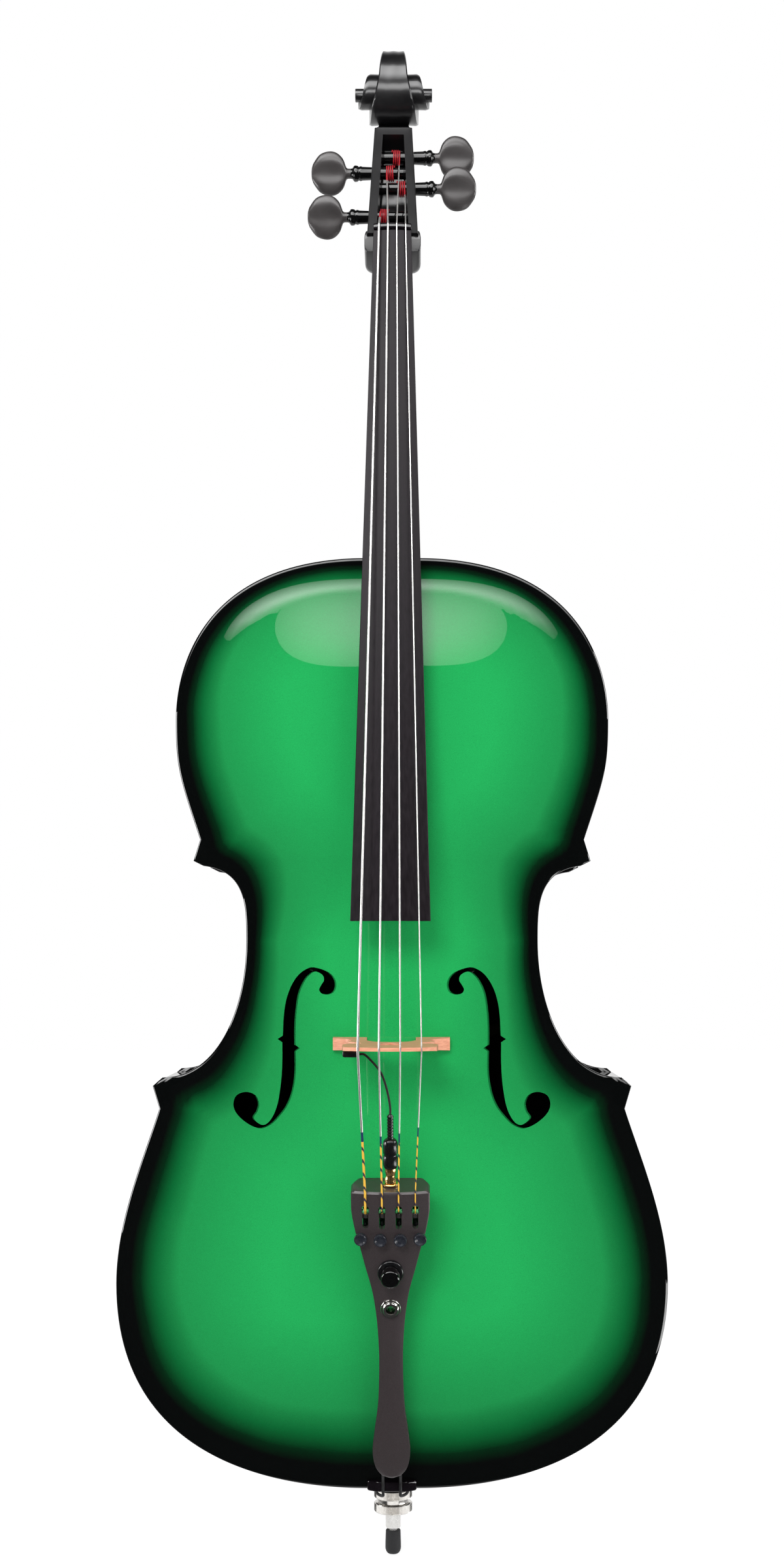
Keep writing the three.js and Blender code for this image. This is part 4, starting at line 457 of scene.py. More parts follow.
# The sprayed border's colours, each at a share of the border's width, from the rim inwards.
burst_stops = [(0.0, burst_black), (0.28, burst_black), (0.42, (0.001, 0.020, 0.006))]
burst_stops += [(0.64, (0.003, 0.125, 0.030)), (1.0, (0.013, 0.265, 0.068))]
# Where the border, and the blend to the middle's lighter green, begin and end, in metres from the rim. The
# blend is partly the sunburst and partly painted light: the middle is painted lighter, as the light falls
# off towards the rim.
border_span, blend_and_lit_middle_span = (0.002, 0.052), (0.045, 0.12)
spray_unevenness = 0.008
flake_scale, flake_span = 2600, (0.86, 1.14)


def sunburst():
    """Green in the middle, through a deep green, to black at the rim. The black border and the deep green
    are the lacquer's own, and the lighter green of the middle is partly the sunburst and partly painted
    light, lighter where the light falls fullest. The surface keeps its distance from the rim, in metres, as
    an attribute, and a little noise makes the sprayed edge uneven. Fine noise scatters the colour as the
    metal flakes under the clear coat do."""
    material = new_finish("green_sunburst", green, 0.42, coat=1.0, coat_roughness=0.015, specular=0.0)
    tree = material.node_tree
    link = tree.links.new
    edge = add_node(tree, "ShaderNodeAttribute", attribute_name="from_edge")
    uneven = calculate(tree, "MULTIPLY_ADD", grain(tree, 9, detail=2), spray_unevenness, edge.outputs["Fac"])
    burst = ramp(tree, spread(tree, uneven, 0, 1, *border_span), burst_stops)
    # The share of the middle's green, which paints the middle lighter: partly the sunburst, partly painted
    # light.
    far = spread(tree, uneven, 0, 1, *blend_and_lit_middle_span)
    mixed = add_node(tree, "ShaderNodeMix", {"B": (*green, 1)}, data_type="RGBA")
    link(far, mixed.inputs["Factor"])
    link(burst, mixed.inputs["A"])
    fleck = spread(tree, grain(tree, flake_scale, detail=1), *flake_span)
    flaked = add_node(tree, "ShaderNodeMix", {"Factor": 1.0}, data_type="RGBA", blend_type="MULTIPLY")
    link(mixed.outputs["Result"], flaked.inputs["A"])
    link(fleck, flaked.inputs["B"])
    link(flaked.outputs["Result"], tree.nodes["Principled BSDF"].inputs["Base Color"])
    return material


sunburst_lacquer = sunburst()
black_lacquer = grained_finish(
    "black_lacquer", (0.0015, 0.0015, 0.0017), (0.003, 0.003, 0.0032), 0.3, 6, coat=1.0, specular=0.0
)
bare_spruce = grained_finish(
    "bare_spruce", (0.50, 0.33, 0.16), (0.78, 0.60, 0.36), 0.7, 60, stretch=(12, 12, 0.5), bump=0.0001
)
print("finishes:", [m.name for m in (sunburst_lacquer, black_lacquer, bare_spruce)])

# %% [markdown]
# ## The body's outline
#
# A cello's outline is drawn as curves that meet at four corners. Working upward on the right side, the
# lower bout swells and draws in to a corner, the waist turns in for the bow, and the upper bout rounds
# up to the neck. Each stretch is a cubic curve, with the same pulls as on the measured model, so that
# the smooth body lies on the faceted one.

# %% Sizes of the body, in millimetres
body_bottom = plate_low[2] / MM
body_length = (plate_high[2] - plate_low[2]) / MM
lower_bout = (plate_high[0] - plate_low[0]) / MM
waist, upper_bout = 236.6, 351.0
lower_bout_height, waist_height, upper_bout_height = 166.0, 444.0, 624.0
lower_corner = (194.3, 326.4)
upper_corner = (161.2, 509.0)
end_flat = 20.0
half_rib = 58.0
plate_thickness = 4.5
top_rise, back_rise = 25.0, 24.0
edge_land, channel_reach, channel_depth = 5.0, 13.0, 0.8
overhang, rib_thickness = 3.5, 1.8
button_radius = 14.0
# The gap left between pieces that are glued or pressed together.
clearance = 0.3
# Where the curves end at each corner, measured from its tip: below it, then above it.
lower_corner_ends = (-5.4, -18.4), (-8, 7)
upper_corner_ends = (-8, -4), (-5.4, 17.3)


def pulled_curve(start, end, first, second, count):
    """A cubic curve, each of whose two pulls lies at a share of the way across and of the way up."""
    start, end = np.array(start), np.array(end)
    return cubic_curve(start, lerp(start, end, first), lerp(start, end, second), end, count)


def body_outline(steps=60):
    """The right half of the outline as (half width, height) points, and its stretches by name."""
    low, mid, high = lower_bout / 2, waist / 2, upper_bout / 2
    low_tip, high_tip = np.array(lower_corner), np.array(upper_corner)
    low_neck, low_root = low_tip + lower_corner_ends
    high_root, high_neck = high_tip + upper_corner_ends
    wide, narrow, broad = (low, lower_bout_height), (mid, waist_height), (high, upper_bout_height)
    base = cubic_curve((end_flat, 0), (low * 0.33, 0), (low, lower_bout_height * 0.07), wide, steps)
    hip = pulled_curve(wide, low_neck, (0, 0.36), (0.64, 0.72), steps // 2)
    low_waist = pulled_curve(low_root, narrow, (0.68, 0), (1, 0.53), steps // 2)
    high_waist = pulled_curve(narrow, high_root, (0, 0.47), (0, 0.93), steps // 2)
    arm = pulled_curve(high_neck, broad, (0.88, 0.53), (1, 0.6), steps // 3)
    side = (high, lerp(upper_bout_height, body_length, 0.32))
    shoulder = cubic_curve(broad, side, (high * 0.88, body_length), (end_flat, body_length), steps)
    return {
        "bottom": np.vstack([base, hip[1:]]),
        "low_tip": low_tip[None],
        "middle": np.vstack([low_waist, high_waist[1:]]),
        "high_tip": high_tip[None],
        "top": np.vstack([arm, shoulder[1:]]),
    }


outline = body_outline()
half_outline = np.vstack(list(outline.values()))
print("outline:", len(half_outline), "points to a side, body", round(body_length), "mm long")

# %% [markdown]
# ## Arched plates
#
# The top and back are carved into a long arch with a shallow channel inside the rim. The height of the
# arch is one bell curve up the body times another across it, as wide as the body is there. Near the rim,
# the surface follows its true distance from the outline: a rounded edge, a flat land, then the channel.

# %% The arch and the worked edge


def bell(share, power):
    """From 1 in the middle to 0 at the rim: half of one plus the cosine of pi times the share raised to
    a power. A higher power gives a fuller middle."""
    return (1 + np.cos(np.pi * np.minimum(1, np.abs(share)) ** power)) / 2


def arch_reach(height):
    """Half the width that the arch fills at a height: it eases from bout to waist to bout by cosines."""
    stations = np.array([0, lower_bout_height, waist_height, upper_bout_height, body_length])
    reaches = np.array([lower_bout, lower_bout, waist, upper_bout, upper_bout]) / 2
    at = np.clip(height, 0, body_length)
    k = np.clip(np.searchsorted(stations, at) - 1, 0, 3)
    share = (at - stations[k]) / (stations[k + 1] - stations[k])
    return lerp(reaches[k], reaches[k + 1], (1 - np.cos(np.pi * share)) / 2) - edge_land


def arch_height(x, height, rise):
    return rise * bell(2 * height / body_length - 1, 2.8) * bell(x / arch_reach(height), 1.8)


def distance_to(line, points):
    """Each point's least distance to a line of joined stretches: its foot on each stretch, kept between
    the ends, then the nearest foot of all."""
    a, step = line[:-1], np.diff(line, axis=0)
    lengths = np.maximum((step**2).sum(axis=1), 1e-12)
    best = np.full(len(points), np.inf)
    for start in range(0, len(a), 64):
        block, run, size = a[start : start + 64], step[start : start + 64], lengths[start : start + 64]
        apart = points[:, None] - block[None]
        share = np.clip((apart * run[None]).sum(axis=2) / size[None], 0, 1)
        gap = apart - share[..., None] * run[None]
        best = np.minimum(best, np.sqrt((gap**2).sum(axis=2)).min(axis=1))
    return best


def rim_drop(distance, reach=3.2):
    """A half-round rim: a quarter of an ellipse from the middle of the plate's thickness to its face."""
    share = 1 - np.minimum(distance, reach) / reach
    return plate_thickness / 2 * (1 - np.sqrt(1 - share**2))


def channel_drop(distance):
    """A shallow hollow inside the rim, deepest where the channel meets the arch."""
    into = np.clip((distance - edge_land) / (channel_reach - edge_land), 0, 1)
    out = np.clip((2 * channel_reach - distance) / channel_reach, 0, 1)
    return channel_depth * np.minimum(into, out) * (1 - 0.4 * np.minimum(into, out))


# How far from the rim the columns lie that crowd there, in millimetres.
rim_columns = np.array([0, 0.15, 0.5, 1.0, 1.7, 2.5, 3.4, 5, 7, 9, 11, 13.5, 17, 22])


def plate_mesh(name, rows, rise, side):
    """A closed shell over rows of (half width, height). Columns crowd towards the rim, and both faces
    follow the arch, eased to nothing over the channel so that the arch springs up smoothly."""
    inner = np.linspace(0, 1, 20, endpoint=False)
    half = rows[:, :1]
    squeeze = np.minimum(1, half / 60)
    crowded = -half + rim_columns * squeeze
    left = np.hstack([crowded, crowded[:, -1:] * (1 - inner[1:])])
    x = np.hstack([left, np.zeros_like(half), -left[:, ::-1]])
    z = np.repeat(rows[:, 1:], x.shape[1], axis=1)
    points = np.stack([x.ravel(), z.ravel()], axis=1)
    edge = distance_to(closed_outline(rows), points).reshape(x.shape)
    edge[:, 0] = edge[:, -1] = 0
    edge[0] = edge[-1] = 0
    lift = arch_height(x, z, rise) * np.clip((edge - edge_land) / (channel_reach * 1.6), 0, 1) ** 0.8
    face = half_rib + plate_thickness - rim_drop(edge) - channel_drop(edge) + lift
    under = half_rib + rim_drop(edge, 1.6) + lift
    grids = [np.stack([x, side * y, body_bottom + z], axis=-1) for y in (face, under)]
    count, columns = x.shape
    outer = grid_faces(count, columns)
    lower = grid_faces(count, columns, first=count * columns)
    return build_mesh(name, np.concatenate(grids) * MM, outer + lower, crease=50)


# How wide the sprayed border is at each height, as a share of its width at the lower bout.
burst_heights = [0, 166, 326, 400, 444, 509, 624, 700, 755]
burst_shares = [1.5, 1.12, 1.0, 0.64, 0.56, 0.92, 0.80, 0.64, 0.42]


def mark_edge(mesh, rows):
    """Keep each point's distance from the outline on the mesh as an attribute: in metres, and divided
    by the share that the border's width has at that height."""
    points = np.empty(len(mesh.vertices) * 3)
    mesh.vertices.foreach_get("co", points)
    flat = points.reshape(-1, 3)[:, [0, 2]] / MM - (0, body_bottom)
    spread_share = np.interp(flat[:, 1], burst_heights, burst_shares)
    layer = mesh.attributes.new("from_edge", "FLOAT", "POINT")
    layer.data.foreach_set("value", distance_to(closed_outline(rows), flat) / spread_share * MM)


# %% The f-holes and the tools that cut them
f_offset, bridge_height = 82.2, 362.0
# The left f-hole: points round its edge, in millimetres across and up from its nicks.
f_edge = [(19.6, 60.9), (29.0, 57.9), (34.5, 53.2), (36.4, 47.4), (35.0, 41.8), (30.6, 39.3), (25.4, 39.9)]
f_edge += [(23.4, 43.0), (25.0, 46.9), (27.0, 50.6), (25.9, 54.8), (20.7, 57.5), (16.5, 54.8), (12.6, 49.3)]
f_edge += [(8.9, 39.9), (6.8, 27.3), (5.7, 14.8), (5.3, 2.2), (5.3, -7.2), (5.2, -19.8), (4.1, -30.8)]
f_edge += [(1.6, -41.8), (-2.4, -50.9), (-7.9, -58.3), (-14.1, -64.7), (-22.0, -68.3), (-29.8, -66.1)]
f_edge += [(-36.9, -60.9), (-41.3, -55.1), (-42.4, -48.8), (-39.7, -42.4), (-32.7, -39.6), (-25.9, -41.8)]
f_edge += [(-23.1, -48.0), (-24.3, -54.6), (-27.4, -60.3), (-22.3, -65.2), (-17.3, -64.1), (-12.6, -57.5)]
f_edge += [(-9.4, -48.8), (-7.4, -38.6), (-5.8, -26.1), (-4.9, -11.9), (-4.6, -0.2), (-3.9, 8.5)]
f_edge += [(-3.0, 21.0), (-1.1, 33.6), (2.7, 45.4), (7.9, 54.3), (13.7, 59.3)]
f_nicks = [(-8.0, 3.2), (-4, 0.2), (5, -6.6), (8.4, -3.8), (5, -1.2), (-4, 6.0)]
# How far the knife leans, as a share of the depth, and the depth where the edge lies as drawn.
knife_lean, knife_level = 0.3, -80


def smooth_loop(points, count):
    """A closed Catmull-Rom curve: the loop is drawn with its ends overlapping, and one lap is kept."""
    laps = np.vstack([points[-3:], points, points[:3]])
    whole = smooth_line(laps, count * (len(laps) - 1) // len(points) + 1)
    share = np.linspace(0, len(laps) - 1, len(whole))
    return whole[(share >= 3) & (share < 3 + len(points))]


def prism(name, points, near, far, lean=0.0, level=0.0):
    """A flat outline in x and height, in millimetres, carried from one depth to another. It can lean
    sideways by a share of the depth, measured from the level where it lies as drawn."""
    points = np.asarray(points)
    rings = []
    for depth in (near, far):
        x = points[:, 0] + lean * (depth - level)
        rings.append(np.stack([x, np.full(len(points), depth), body_bottom + points[:, 1]], axis=-1))
    return build_mesh(name, np.concatenate(rings) * MM, tube_faces(2, len(points)), crease=30)


def f_hole_cutters(side):
    """One f-hole: its drawn edge, and a small diamond for its two nicks. The knife leans outwards, so
    that the cut wall on the side towards the strings is turned to the viewer."""
    centre = np.array([-f_offset, bridge_height])
    near, far = -half_rib - plate_thickness - top_rise - 5, -half_rib + 2
    parts = []
    for points in (smooth_loop(np.array(f_edge), 300), np.array(f_nicks)):
        drawn = (points + centre) * (side, 1)
        parts.append(prism("f_cutter", drawn, near, far, -knife_lean * side, knife_level))
    return parts


def boolean(target, cutter, operation):
    """Join or cut two objects, and bake the result into the first one's mesh."""
    modifier = target.modifiers.new("cut", "BOOLEAN")
    modifier.operation = operation
    modifier.solver = "EXACT"
    modifier.object = cutter
    baked = bpy.data.meshes.new_from_object(target.evaluated_get(bpy.context.evaluated_depsgraph_get()))
    target.modifiers.clear()
    old, target.data = target.data, baked
    baked.name = old.name
    bpy.data.meshes.remove(old)


def combine(mesh, others, operation, crease=40):
    """Add solids to a mesh, or cut them from it, one after the other. The faces that they leave take
    the mesh's own first finish."""
    target = add_object(mesh.name, mesh)
    for other in others:
        tool = add_object(other.name, other)
        boolean(target, tool, operation)
        bpy.data.objects.remove(tool)
    made = target.data
    bpy.data.objects.remove(target)
    made.shade_smooth()
    made.set_sharp_from_angle(angle=math.radians(crease))
    return made


# %% The top and the back
top_mesh = plate_mesh("arched_top", half_outline, top_rise, -1)
top_mesh.materials.append(sunburst_lacquer)
cutters = f_hole_cutters(1) + f_hole_cutters(-1)
top_mesh = combine(top_mesh, cutters, "DIFFERENCE")
mark_edge(top_mesh, half_outline)
place_piece(top_mesh, sunburst_lacquer, ["top_plate"])

turn = np.linspace(0, 0.97, 12) * np.pi / 2
button = np.column_stack([button_radius * np.cos(turn), body_length + button_radius * np.sin(turn)])
back_mesh = plate_mesh("arched_back", np.vstack([half_outline, button]), back_rise, 1)
place_piece(back_mesh, black_lacquer, ["back_plate"])
print("plates:", len(top_mesh.polygons), "and", len(back_mesh.polygons), "faces")

# %% [markdown]
# ## Ribs
#
# The sides are thin strips bent to the outline, a few millimetres inside it. Six of them meet at the
# corners and at the ends. Each one here is a flat profile carried along its stretch of the outline.

# %% Six bent ribs


def inward_line(points, distance):
    """A line moved to its left by a distance, along the normals of the line."""
    along = np.gradient(points, axis=0)
    along /= np.linalg.norm(along, axis=1, keepdims=True)
    return points + np.column_stack([-along[:, 1], along[:, 0]]) * distance


def between(points, axis, least, most):
    inside = (points[:, axis] >= least) & (points[:, axis] <= most)
    return points[inside]


def rib_mesh(name, line, side):
    """A strip along a line: its ring at each place is a thin rectangle that stands across the body."""
    height = half_rib - clearance
    inner = inward_line(line, rib_thickness)
    ring = [(line, -height), (inner, -height), (inner, height), (line, height)]
    points = np.stack(
        [
            np.column_stack([side * place[:, 0], np.full(len(place), depth), body_bottom + place[:, 1]])
            for place, depth in ring
        ],
        axis=1,
    )
    return build_mesh(name, points * MM, tube_faces(len(line), 4))


low_root_height = lower_corner[1] + lower_corner_ends[1][1]
high_root_height = upper_corner[1] + upper_corner_ends[0][1]
lower_line = np.vstack([outline["bottom"], outline["low_tip"]])
lower_line = inward_line(np.vstack([[(0.2, 0)], lower_line]), overhang)
lower_line = between(lower_line, 1, -5, low_root_height - overhang - rib_thickness)
waist_line = np.vstack(
    [
        (lower_corner[0] - overhang, low_root_height - overhang),
        inward_line(outline["middle"], overhang),
        (upper_corner[0] - overhang, high_root_height + overhang),
    ]
)
upper_line = inward_line(np.vstack([outline["high_tip"], outline["top"]]), overhang)
upper_line = between(upper_line, 1, high_root_height + overhang + 2 * rib_thickness, body_length)
rib_lines = {"lower": lower_line, "waist": waist_line, "upper": upper_line}
for level, line in rib_lines.items():
    for word, side in (("left", -1), ("right", 1)):
        mesh = rib_mesh(f"{level}_side_{word}", line, side)
        place_piece(mesh, black_lacquer, [f"{level}_rib_{word}"])
print("ribs:", {level: len(line) for level, line in rib_lines.items()})

# %% [markdown]
# ## Shaping tools for the carved parts
#
# Carved wood and moulded plastic have few truly sharp corners, and it is the small rounds that catch
# the light. Each section below is drawn as a polygon, then its corners are eased with short curves.

# %% Eased sections and lofts


def bend(start, corner, end, steps):
    """Points of a curve that leaves its start towards a corner and reaches its end from that corner: a
    parabola between the two."""
    t = np.linspace(0, 1, steps)[:, None]
    a, b, c = [v[..., None, :] for v in (start, corner, end)]
    return a * (1 - t) ** 2 + 2 * b * t * (1 - t) + c * t**2


def eased(polygon, radius, steps=4):
    """A closed polygon with its corners rounded: each corner becomes a short curve that leaves one side
    and meets the next, no further from the corner than the radius or half of the shorter side."""
    p = np.asarray(polygon, dtype=float)
    radius = np.broadcast_to(np.asarray(radius, dtype=float), p.shape[:-1])
    before, after = np.roll(p, 1, axis=-2) - p, np.roll(p, -1, axis=-2) - p
    near, far = [np.maximum(np.linalg.norm(v, axis=-1), 1e-9) for v in (before, after)]
    reach = np.minimum(radius, 0.48 * np.minimum(near, far))
    start, end = p + before * (reach / near)[..., None], p + after * (reach / far)[..., None]
    curve = bend(start, p, end, steps)
    return curve.reshape(*p.shape[:-2], -1, p.shape[-1])


def loft_mesh(name, rings, crease=38):
    """A closed mesh over rings in metres, each with the same number of points, capped at both ends."""
    rings = np.asarray(rings)
    return build_mesh(name, rings, tube_faces(len(rings), rings.shape[1]), crease)


def paint_part(mesh, finish, chosen):
    """Give a further finish to the faces whose centre, in millimetres, a rule chooses."""
    count = len(mesh.polygons)
    centre, index = np.empty(count * 3), np.empty(count, dtype=np.int32)
    mesh.polygons.foreach_get("center", centre)
    mesh.polygons.foreach_get("material_index", index)
    index[chosen(centre.reshape(-1, 3) / MM)] = len(mesh.materials)
    mesh.materials.append(finish)
    mesh.polygons.foreach_set("material_index", index)


def placed(matrix, points):
    """Points in millimetres of a tilted frame, moved to the cello's own frame in metres."""
    return apply(matrix, np.asarray(points, dtype=float) * MM)


def stack(x, y, z):
    return np.stack(np.broadcast_arrays(x, y, z), axis=-1)


# %% Sizes of the neck, the head and the tailpiece, in millimetres
neck_length, board_length, board_lift, string_action = 273.0, 569.0, 32.0, 9.13
board_nut_width, board_end_width, board_radius, board_edge = 31.0, 62.0, 66.0, 6.0
bridge_crown = 115.0
front_edge = -(half_rib + plate_thickness)
body_top = body_bottom + body_length
nut_height = body_top + neck_length
board_end = nut_height - board_length
board_root = front_edge - board_lift
bridge_place = body_bottom + bridge_height
crown_front = front_edge - bridge_crown
under_string = board_length / (nut_height - bridge_place)
board_slope = under_string * (board_root - crown_front) - string_action
board_slope /= board_length - under_string * neck_length


def board_share(z):
    return (nut_height - z) / board_length


def board_width(z):
    return lerp(board_nut_width, board_end_width, board_share(z))


def sagitta(width, radius):
    """How far an arc drops over half of a width: the radius less the root of its square less the half
    width squared."""
    return radius - np.sqrt(radius**2 - (width / 2) ** 2)


def board_crown(z):
    return board_root + (z - body_top) * board_slope


def edge_depth(z):
    return board_crown(z) + sagitta(board_width(z), board_radius) + board_edge


def glue_plane(z):
    return lerp(edge_depth(nut_height), edge_depth(board_end), board_share(z))


def tilted_frame(lean, place):
    """A frame turned about X by an angle in degrees, with its origin at a place in millimetres."""
    return Matrix.Translation(Vector(place) * MM) @ Matrix.Rotation(math.radians(lean), 4, "X")


head_lean, tail_angle, tail_stand, tail_height = 24.0, 15.0, 85.0, 252.0
head_frame = tilted_frame(-head_lean, (0, float(glue_plane(nut_height)), nut_height))
tail_frame = tilted_frame(tail_angle, (0, front_edge - tail_stand, body_bottom + tail_height))
print("slope of the fingerboard", round(board_slope, 4))

# %% More finishes
ebony = grained_finish(
    "ebony", (0.006, 0.0042, 0.0058), (0.012, 0.0088, 0.0115), 0.34, 90, stretch=(6, 6, 0.6), bump=0.00002,
    specular=0.12
)
polished_ebony = grained_finish(
    "polished_ebony", (0.003, 0.002, 0.003), (0.007, 0.005, 0.007), 0.3, 90, coat=1.0, specular=0.0
)
head_lacquer = grained_finish(
    "head_lacquer", (0.003, 0.0028, 0.0034), (0.006, 0.0055, 0.0066), 0.4, 30, coat=1.0, specular=0.2,
    coat_roughness=0.2
)
maple = grained_finish(
    "maple", (0.70, 0.28, 0.16), (0.86, 0.40, 0.25), 0.48, 160, stretch=(0.5, 3, 5), bump=0.00003
)
satin_peg = grained_finish("satin_peg", (0.040, 0.036, 0.036), (0.056, 0.051, 0.051), 0.33, 60, bump=0.00001)
composite = grained_finish(
    "composite", (0.034, 0.026, 0.028), (0.049, 0.039, 0.041), 0.36, 1400, bump=0.00001, specular=0.5
)
black_plastic = grained_finish("black_plastic", (0.004, 0.004, 0.005), (0.008, 0.008, 0.009), 0.22, 300)
slate_plastic = grained_finish("slate_plastic", (0.014, 0.016, 0.024), (0.022, 0.025, 0.034), 0.28, 300)
black_cord = grained_finish(
    "black_cord", (0.006, 0.006, 0.007), (0.014, 0.014, 0.015), 0.55, 900, bump=0.00002
)
rubber = grained_finish("rubber", (0.008, 0.008, 0.009), (0.016, 0.016, 0.017), 0.7, 700, bump=0.00002)
nickel = grained_finish("nickel", (0.62, 0.60, 0.57), (0.72, 0.70, 0.67), 0.2, 400, metallic=1.0)
steel = grained_finish("steel", (0.70, 0.69, 0.67), (0.80, 0.79, 0.77), 0.24, 500, metallic=1.0)
gold = grained_finish("gold", (0.78, 0.50, 0.18), (0.90, 0.62, 0.26), 0.22, 400, metallic=1.0)


def silk(name, dark, light, pitch, thread=0.00008, flecks=0.25):
    """Silk thread wrapped round a string: fine ridges square to the wrapped core, and two tones that
    run round it as a spiral."""
    material = new_finish(name, light, 0.55, specular=0.3)
    tree = material.node_tree
    place = add_node(tree, "ShaderNodeTexCoord")
    waves = {"Scale": pitch, "Distortion": 1.2}
    bands = add_node(tree, "ShaderNodeTexWave", waves, bands_direction="DIAGONAL")
    tree.links.new(place.outputs["Object"], bands.inputs["Vector"])
    color = ramp(tree, bands.outputs["Fac"], [(flecks, dark), (flecks + 0.2, light)])
    tree.links.new(color, tree.nodes["Principled BSDF"].inputs["Base Color"])
    add_bump(material, bands.outputs["Fac"], thread)
    return material


red_silk = silk("red_silk", (0.25, 0.005, 0.01), (0.62, 0.015, 0.03), 900)
blue_silk = silk("blue_silk", (0.002, 0.012, 0.05), (0.005, 0.035, 0.12), 900)
gold_silk = silk("gold_silk", (0.03, 0.02, 0.05), (0.80, 0.46, 0.05), 85, flecks=0.08)

# %% [markdown]
# ## Neck, pegbox and scroll
#
# The neck grows out of the body as a deep heel, becomes a rounded shaft for the hand, and widens into
# the cheeks under the pegbox. The box is hollow from the front, so that the strings reach their pegs.
# The scroll is a plate bounded by a spiral, and its inner turn stands out further on both sides. A
# round bar across both turns makes the eyes. Each form is made closed by itself, then all of them are
# joined into one solid and the box is cut out.

# %% The neck shaft and its heel
neck_depth, neck_taper, neck_root_width, tenon_depth, heel_curve = 24.0, 6.0, 36.0, 14.0, 62.0


def neck_shaft(steps=28):
    """Sections across the neck: a flat front, and a back that is half of a rounded square, whose power
    falls from nearly square at the heel to nearly round at the nut."""
    inside = half_rib - clearance
    heel = np.linspace(0, 1, 30)
    quarter = heel * np.pi / 2
    curve_z = body_top + button_radius + heel_curve * (1 - np.cos(quarter))
    heel_top = body_top + button_radius + heel_curve
    upper_z = np.linspace(heel_top, nut_height + clearance, 30)[1:]
    z = np.concatenate([body_top + np.array([-tenon_depth, 0.3, 0.9]), curve_z, upper_z])
    shaft = glue_plane(z) + neck_depth
    taper = neck_taper * (z[33:] - heel_top) / (nut_height - heel_top)
    far = np.concatenate([[inside] * 3, lerp(inside, shaft[3:33], np.sin(quarter)), shaft[33:] - taper])
    front = np.concatenate([[neck_root_width] * 2, board_width(z[2:])])
    root_back = [neck_root_width, neck_root_width, button_radius * 2]
    heel_back = lerp(button_radius * 1.9, board_width(curve_z), heel)
    back = np.concatenate([root_back, heel_back, board_width(upper_z)])
    square = np.concatenate([[12, 12, 4], lerp(3.4, 2.2, heel), np.full(len(upper_z), 2.2)])[:, None]
    turn = np.linspace(0, np.pi, 2 * steps + 1)
    wide = np.sign(np.cos(turn)) * np.abs(np.cos(turn)) ** (2 / square)
    deep = np.maximum(np.sin(turn), 0) ** (2 / square)
    half = lerp(front[:, None], back[:, None], deep) / 2
    return stack(half * wide, lerp(glue_plane(z)[:, None], far[:, None], deep), z[:, None]) * MM


# %% The cheeks, the pegbox, the throat and the scroll
pegbox_width, throat_width, pegbox_depth, throat_depth = 42.0, 32.0, 44.0, 24.0
pegbox_length, pegbox_wall, pegbox_floor = 118.0, 7.5, 8.0
scroll_reach, scroll_radius, scroll_shrink = 158.0, 38.0, 0.484
scroll_deep, eye_radius, eye_half = throat_depth * 0.1, 5.5, 33.0
peg_places = np.array([0.246, 0.661, 0.81, 0.513]) * pegbox_length
peg_sides = (-1, -1, 1, 1)
peg_deep = 12.0


def pegbox_at(along):
    share = np.clip(np.asarray(along, dtype=float) / pegbox_length, 0, 1)
    return lerp(pegbox_width, throat_width, share), lerp(pegbox_depth, throat_depth, share**1.15)


def head_loft(name, along, width, near, far, back_round, front_round=1.2):
    """A boxy body along the head: a rounded rectangle at each station, with a broad round behind."""
    half = np.asarray(width, dtype=float) / 2
    half, near, far, back, front = [
        np.broadcast_to(np.asarray(v, dtype=float), np.shape(along))
        for v in (half, near, far, back_round, front_round)
    ]
    corners = [stack(x, y, along) for x, y in ((-half, near), (half, near), (half, far), (-half, far))]
    rounds = np.stack([front, front, back, back], axis=1)
    rings = eased(np.stack(corners, axis=1), rounds, steps=7)
    return loft_mesh(name, placed(head_frame, rings))


def chin():
    """The cheeks where the neck meets the pegbox: a thick pad whose lower edge is bevelled."""
    along = np.array([-11, -10, -8.5, -6, -2, 0, 4, 6])
    width = np.array([0.93, 0.965, 0.99, 1, 1, 1, 0.98, 0.95]) * 46.7
    near = 4 + np.maximum(0, -along) * math.tan(math.radians(head_lean))
    far = np.array([33, 35.5, 37.6, 39.2, 40.6, 41.8, 41.4, 40.6])
    return head_loft("chin", along, width, near, far, 11)


def pegbox():
    along = np.linspace(0, pegbox_length, 14)
    width, depth = pegbox_at(along)
    return head_loft("pegbox", along, width, 0, depth, 8)


def throat():
    """The slim stem between the pegbox and the scroll, which curves back as it rises."""
    stations = np.array(
        [
            [pegbox_length - 2, throat_width * 0.96, 2, throat_depth, 7],
            [pegbox_length + 7, throat_width * 0.91, 6, throat_depth * 1.13, 7],
            [pegbox_length + 14, throat_width * 0.86, 12, throat_depth * 1.33, 7],
            [pegbox_length + 27, 24, 18.5, throat_depth * 1.46, 6],
            [scroll_reach, 21.5, 22, scroll_radius * 0.97, 5],
            [scroll_reach + 14, 20.8, 20, scroll_radius * 0.97, 5],
        ]
    )
    line = smooth_line(stations, 16)
    return head_loft("throat", *line.T)


def scroll_width(turn):
    """The scroll's width at a turn: narrow at its nose, wider down the tongue, widest at the eyes."""
    turns = [-0.2, 0, 0.136, 0.294, 0.386, 0.443, 0.636, 1, 1.136, 1.386, 1.636, 1.8, 3]
    widths = [21, 18.5, 18.9, 24.3, 31.7, 36.5, 42.5, 43, 43.5, 53, 61, 62, 66]
    return np.interp(turn, turns, widths)


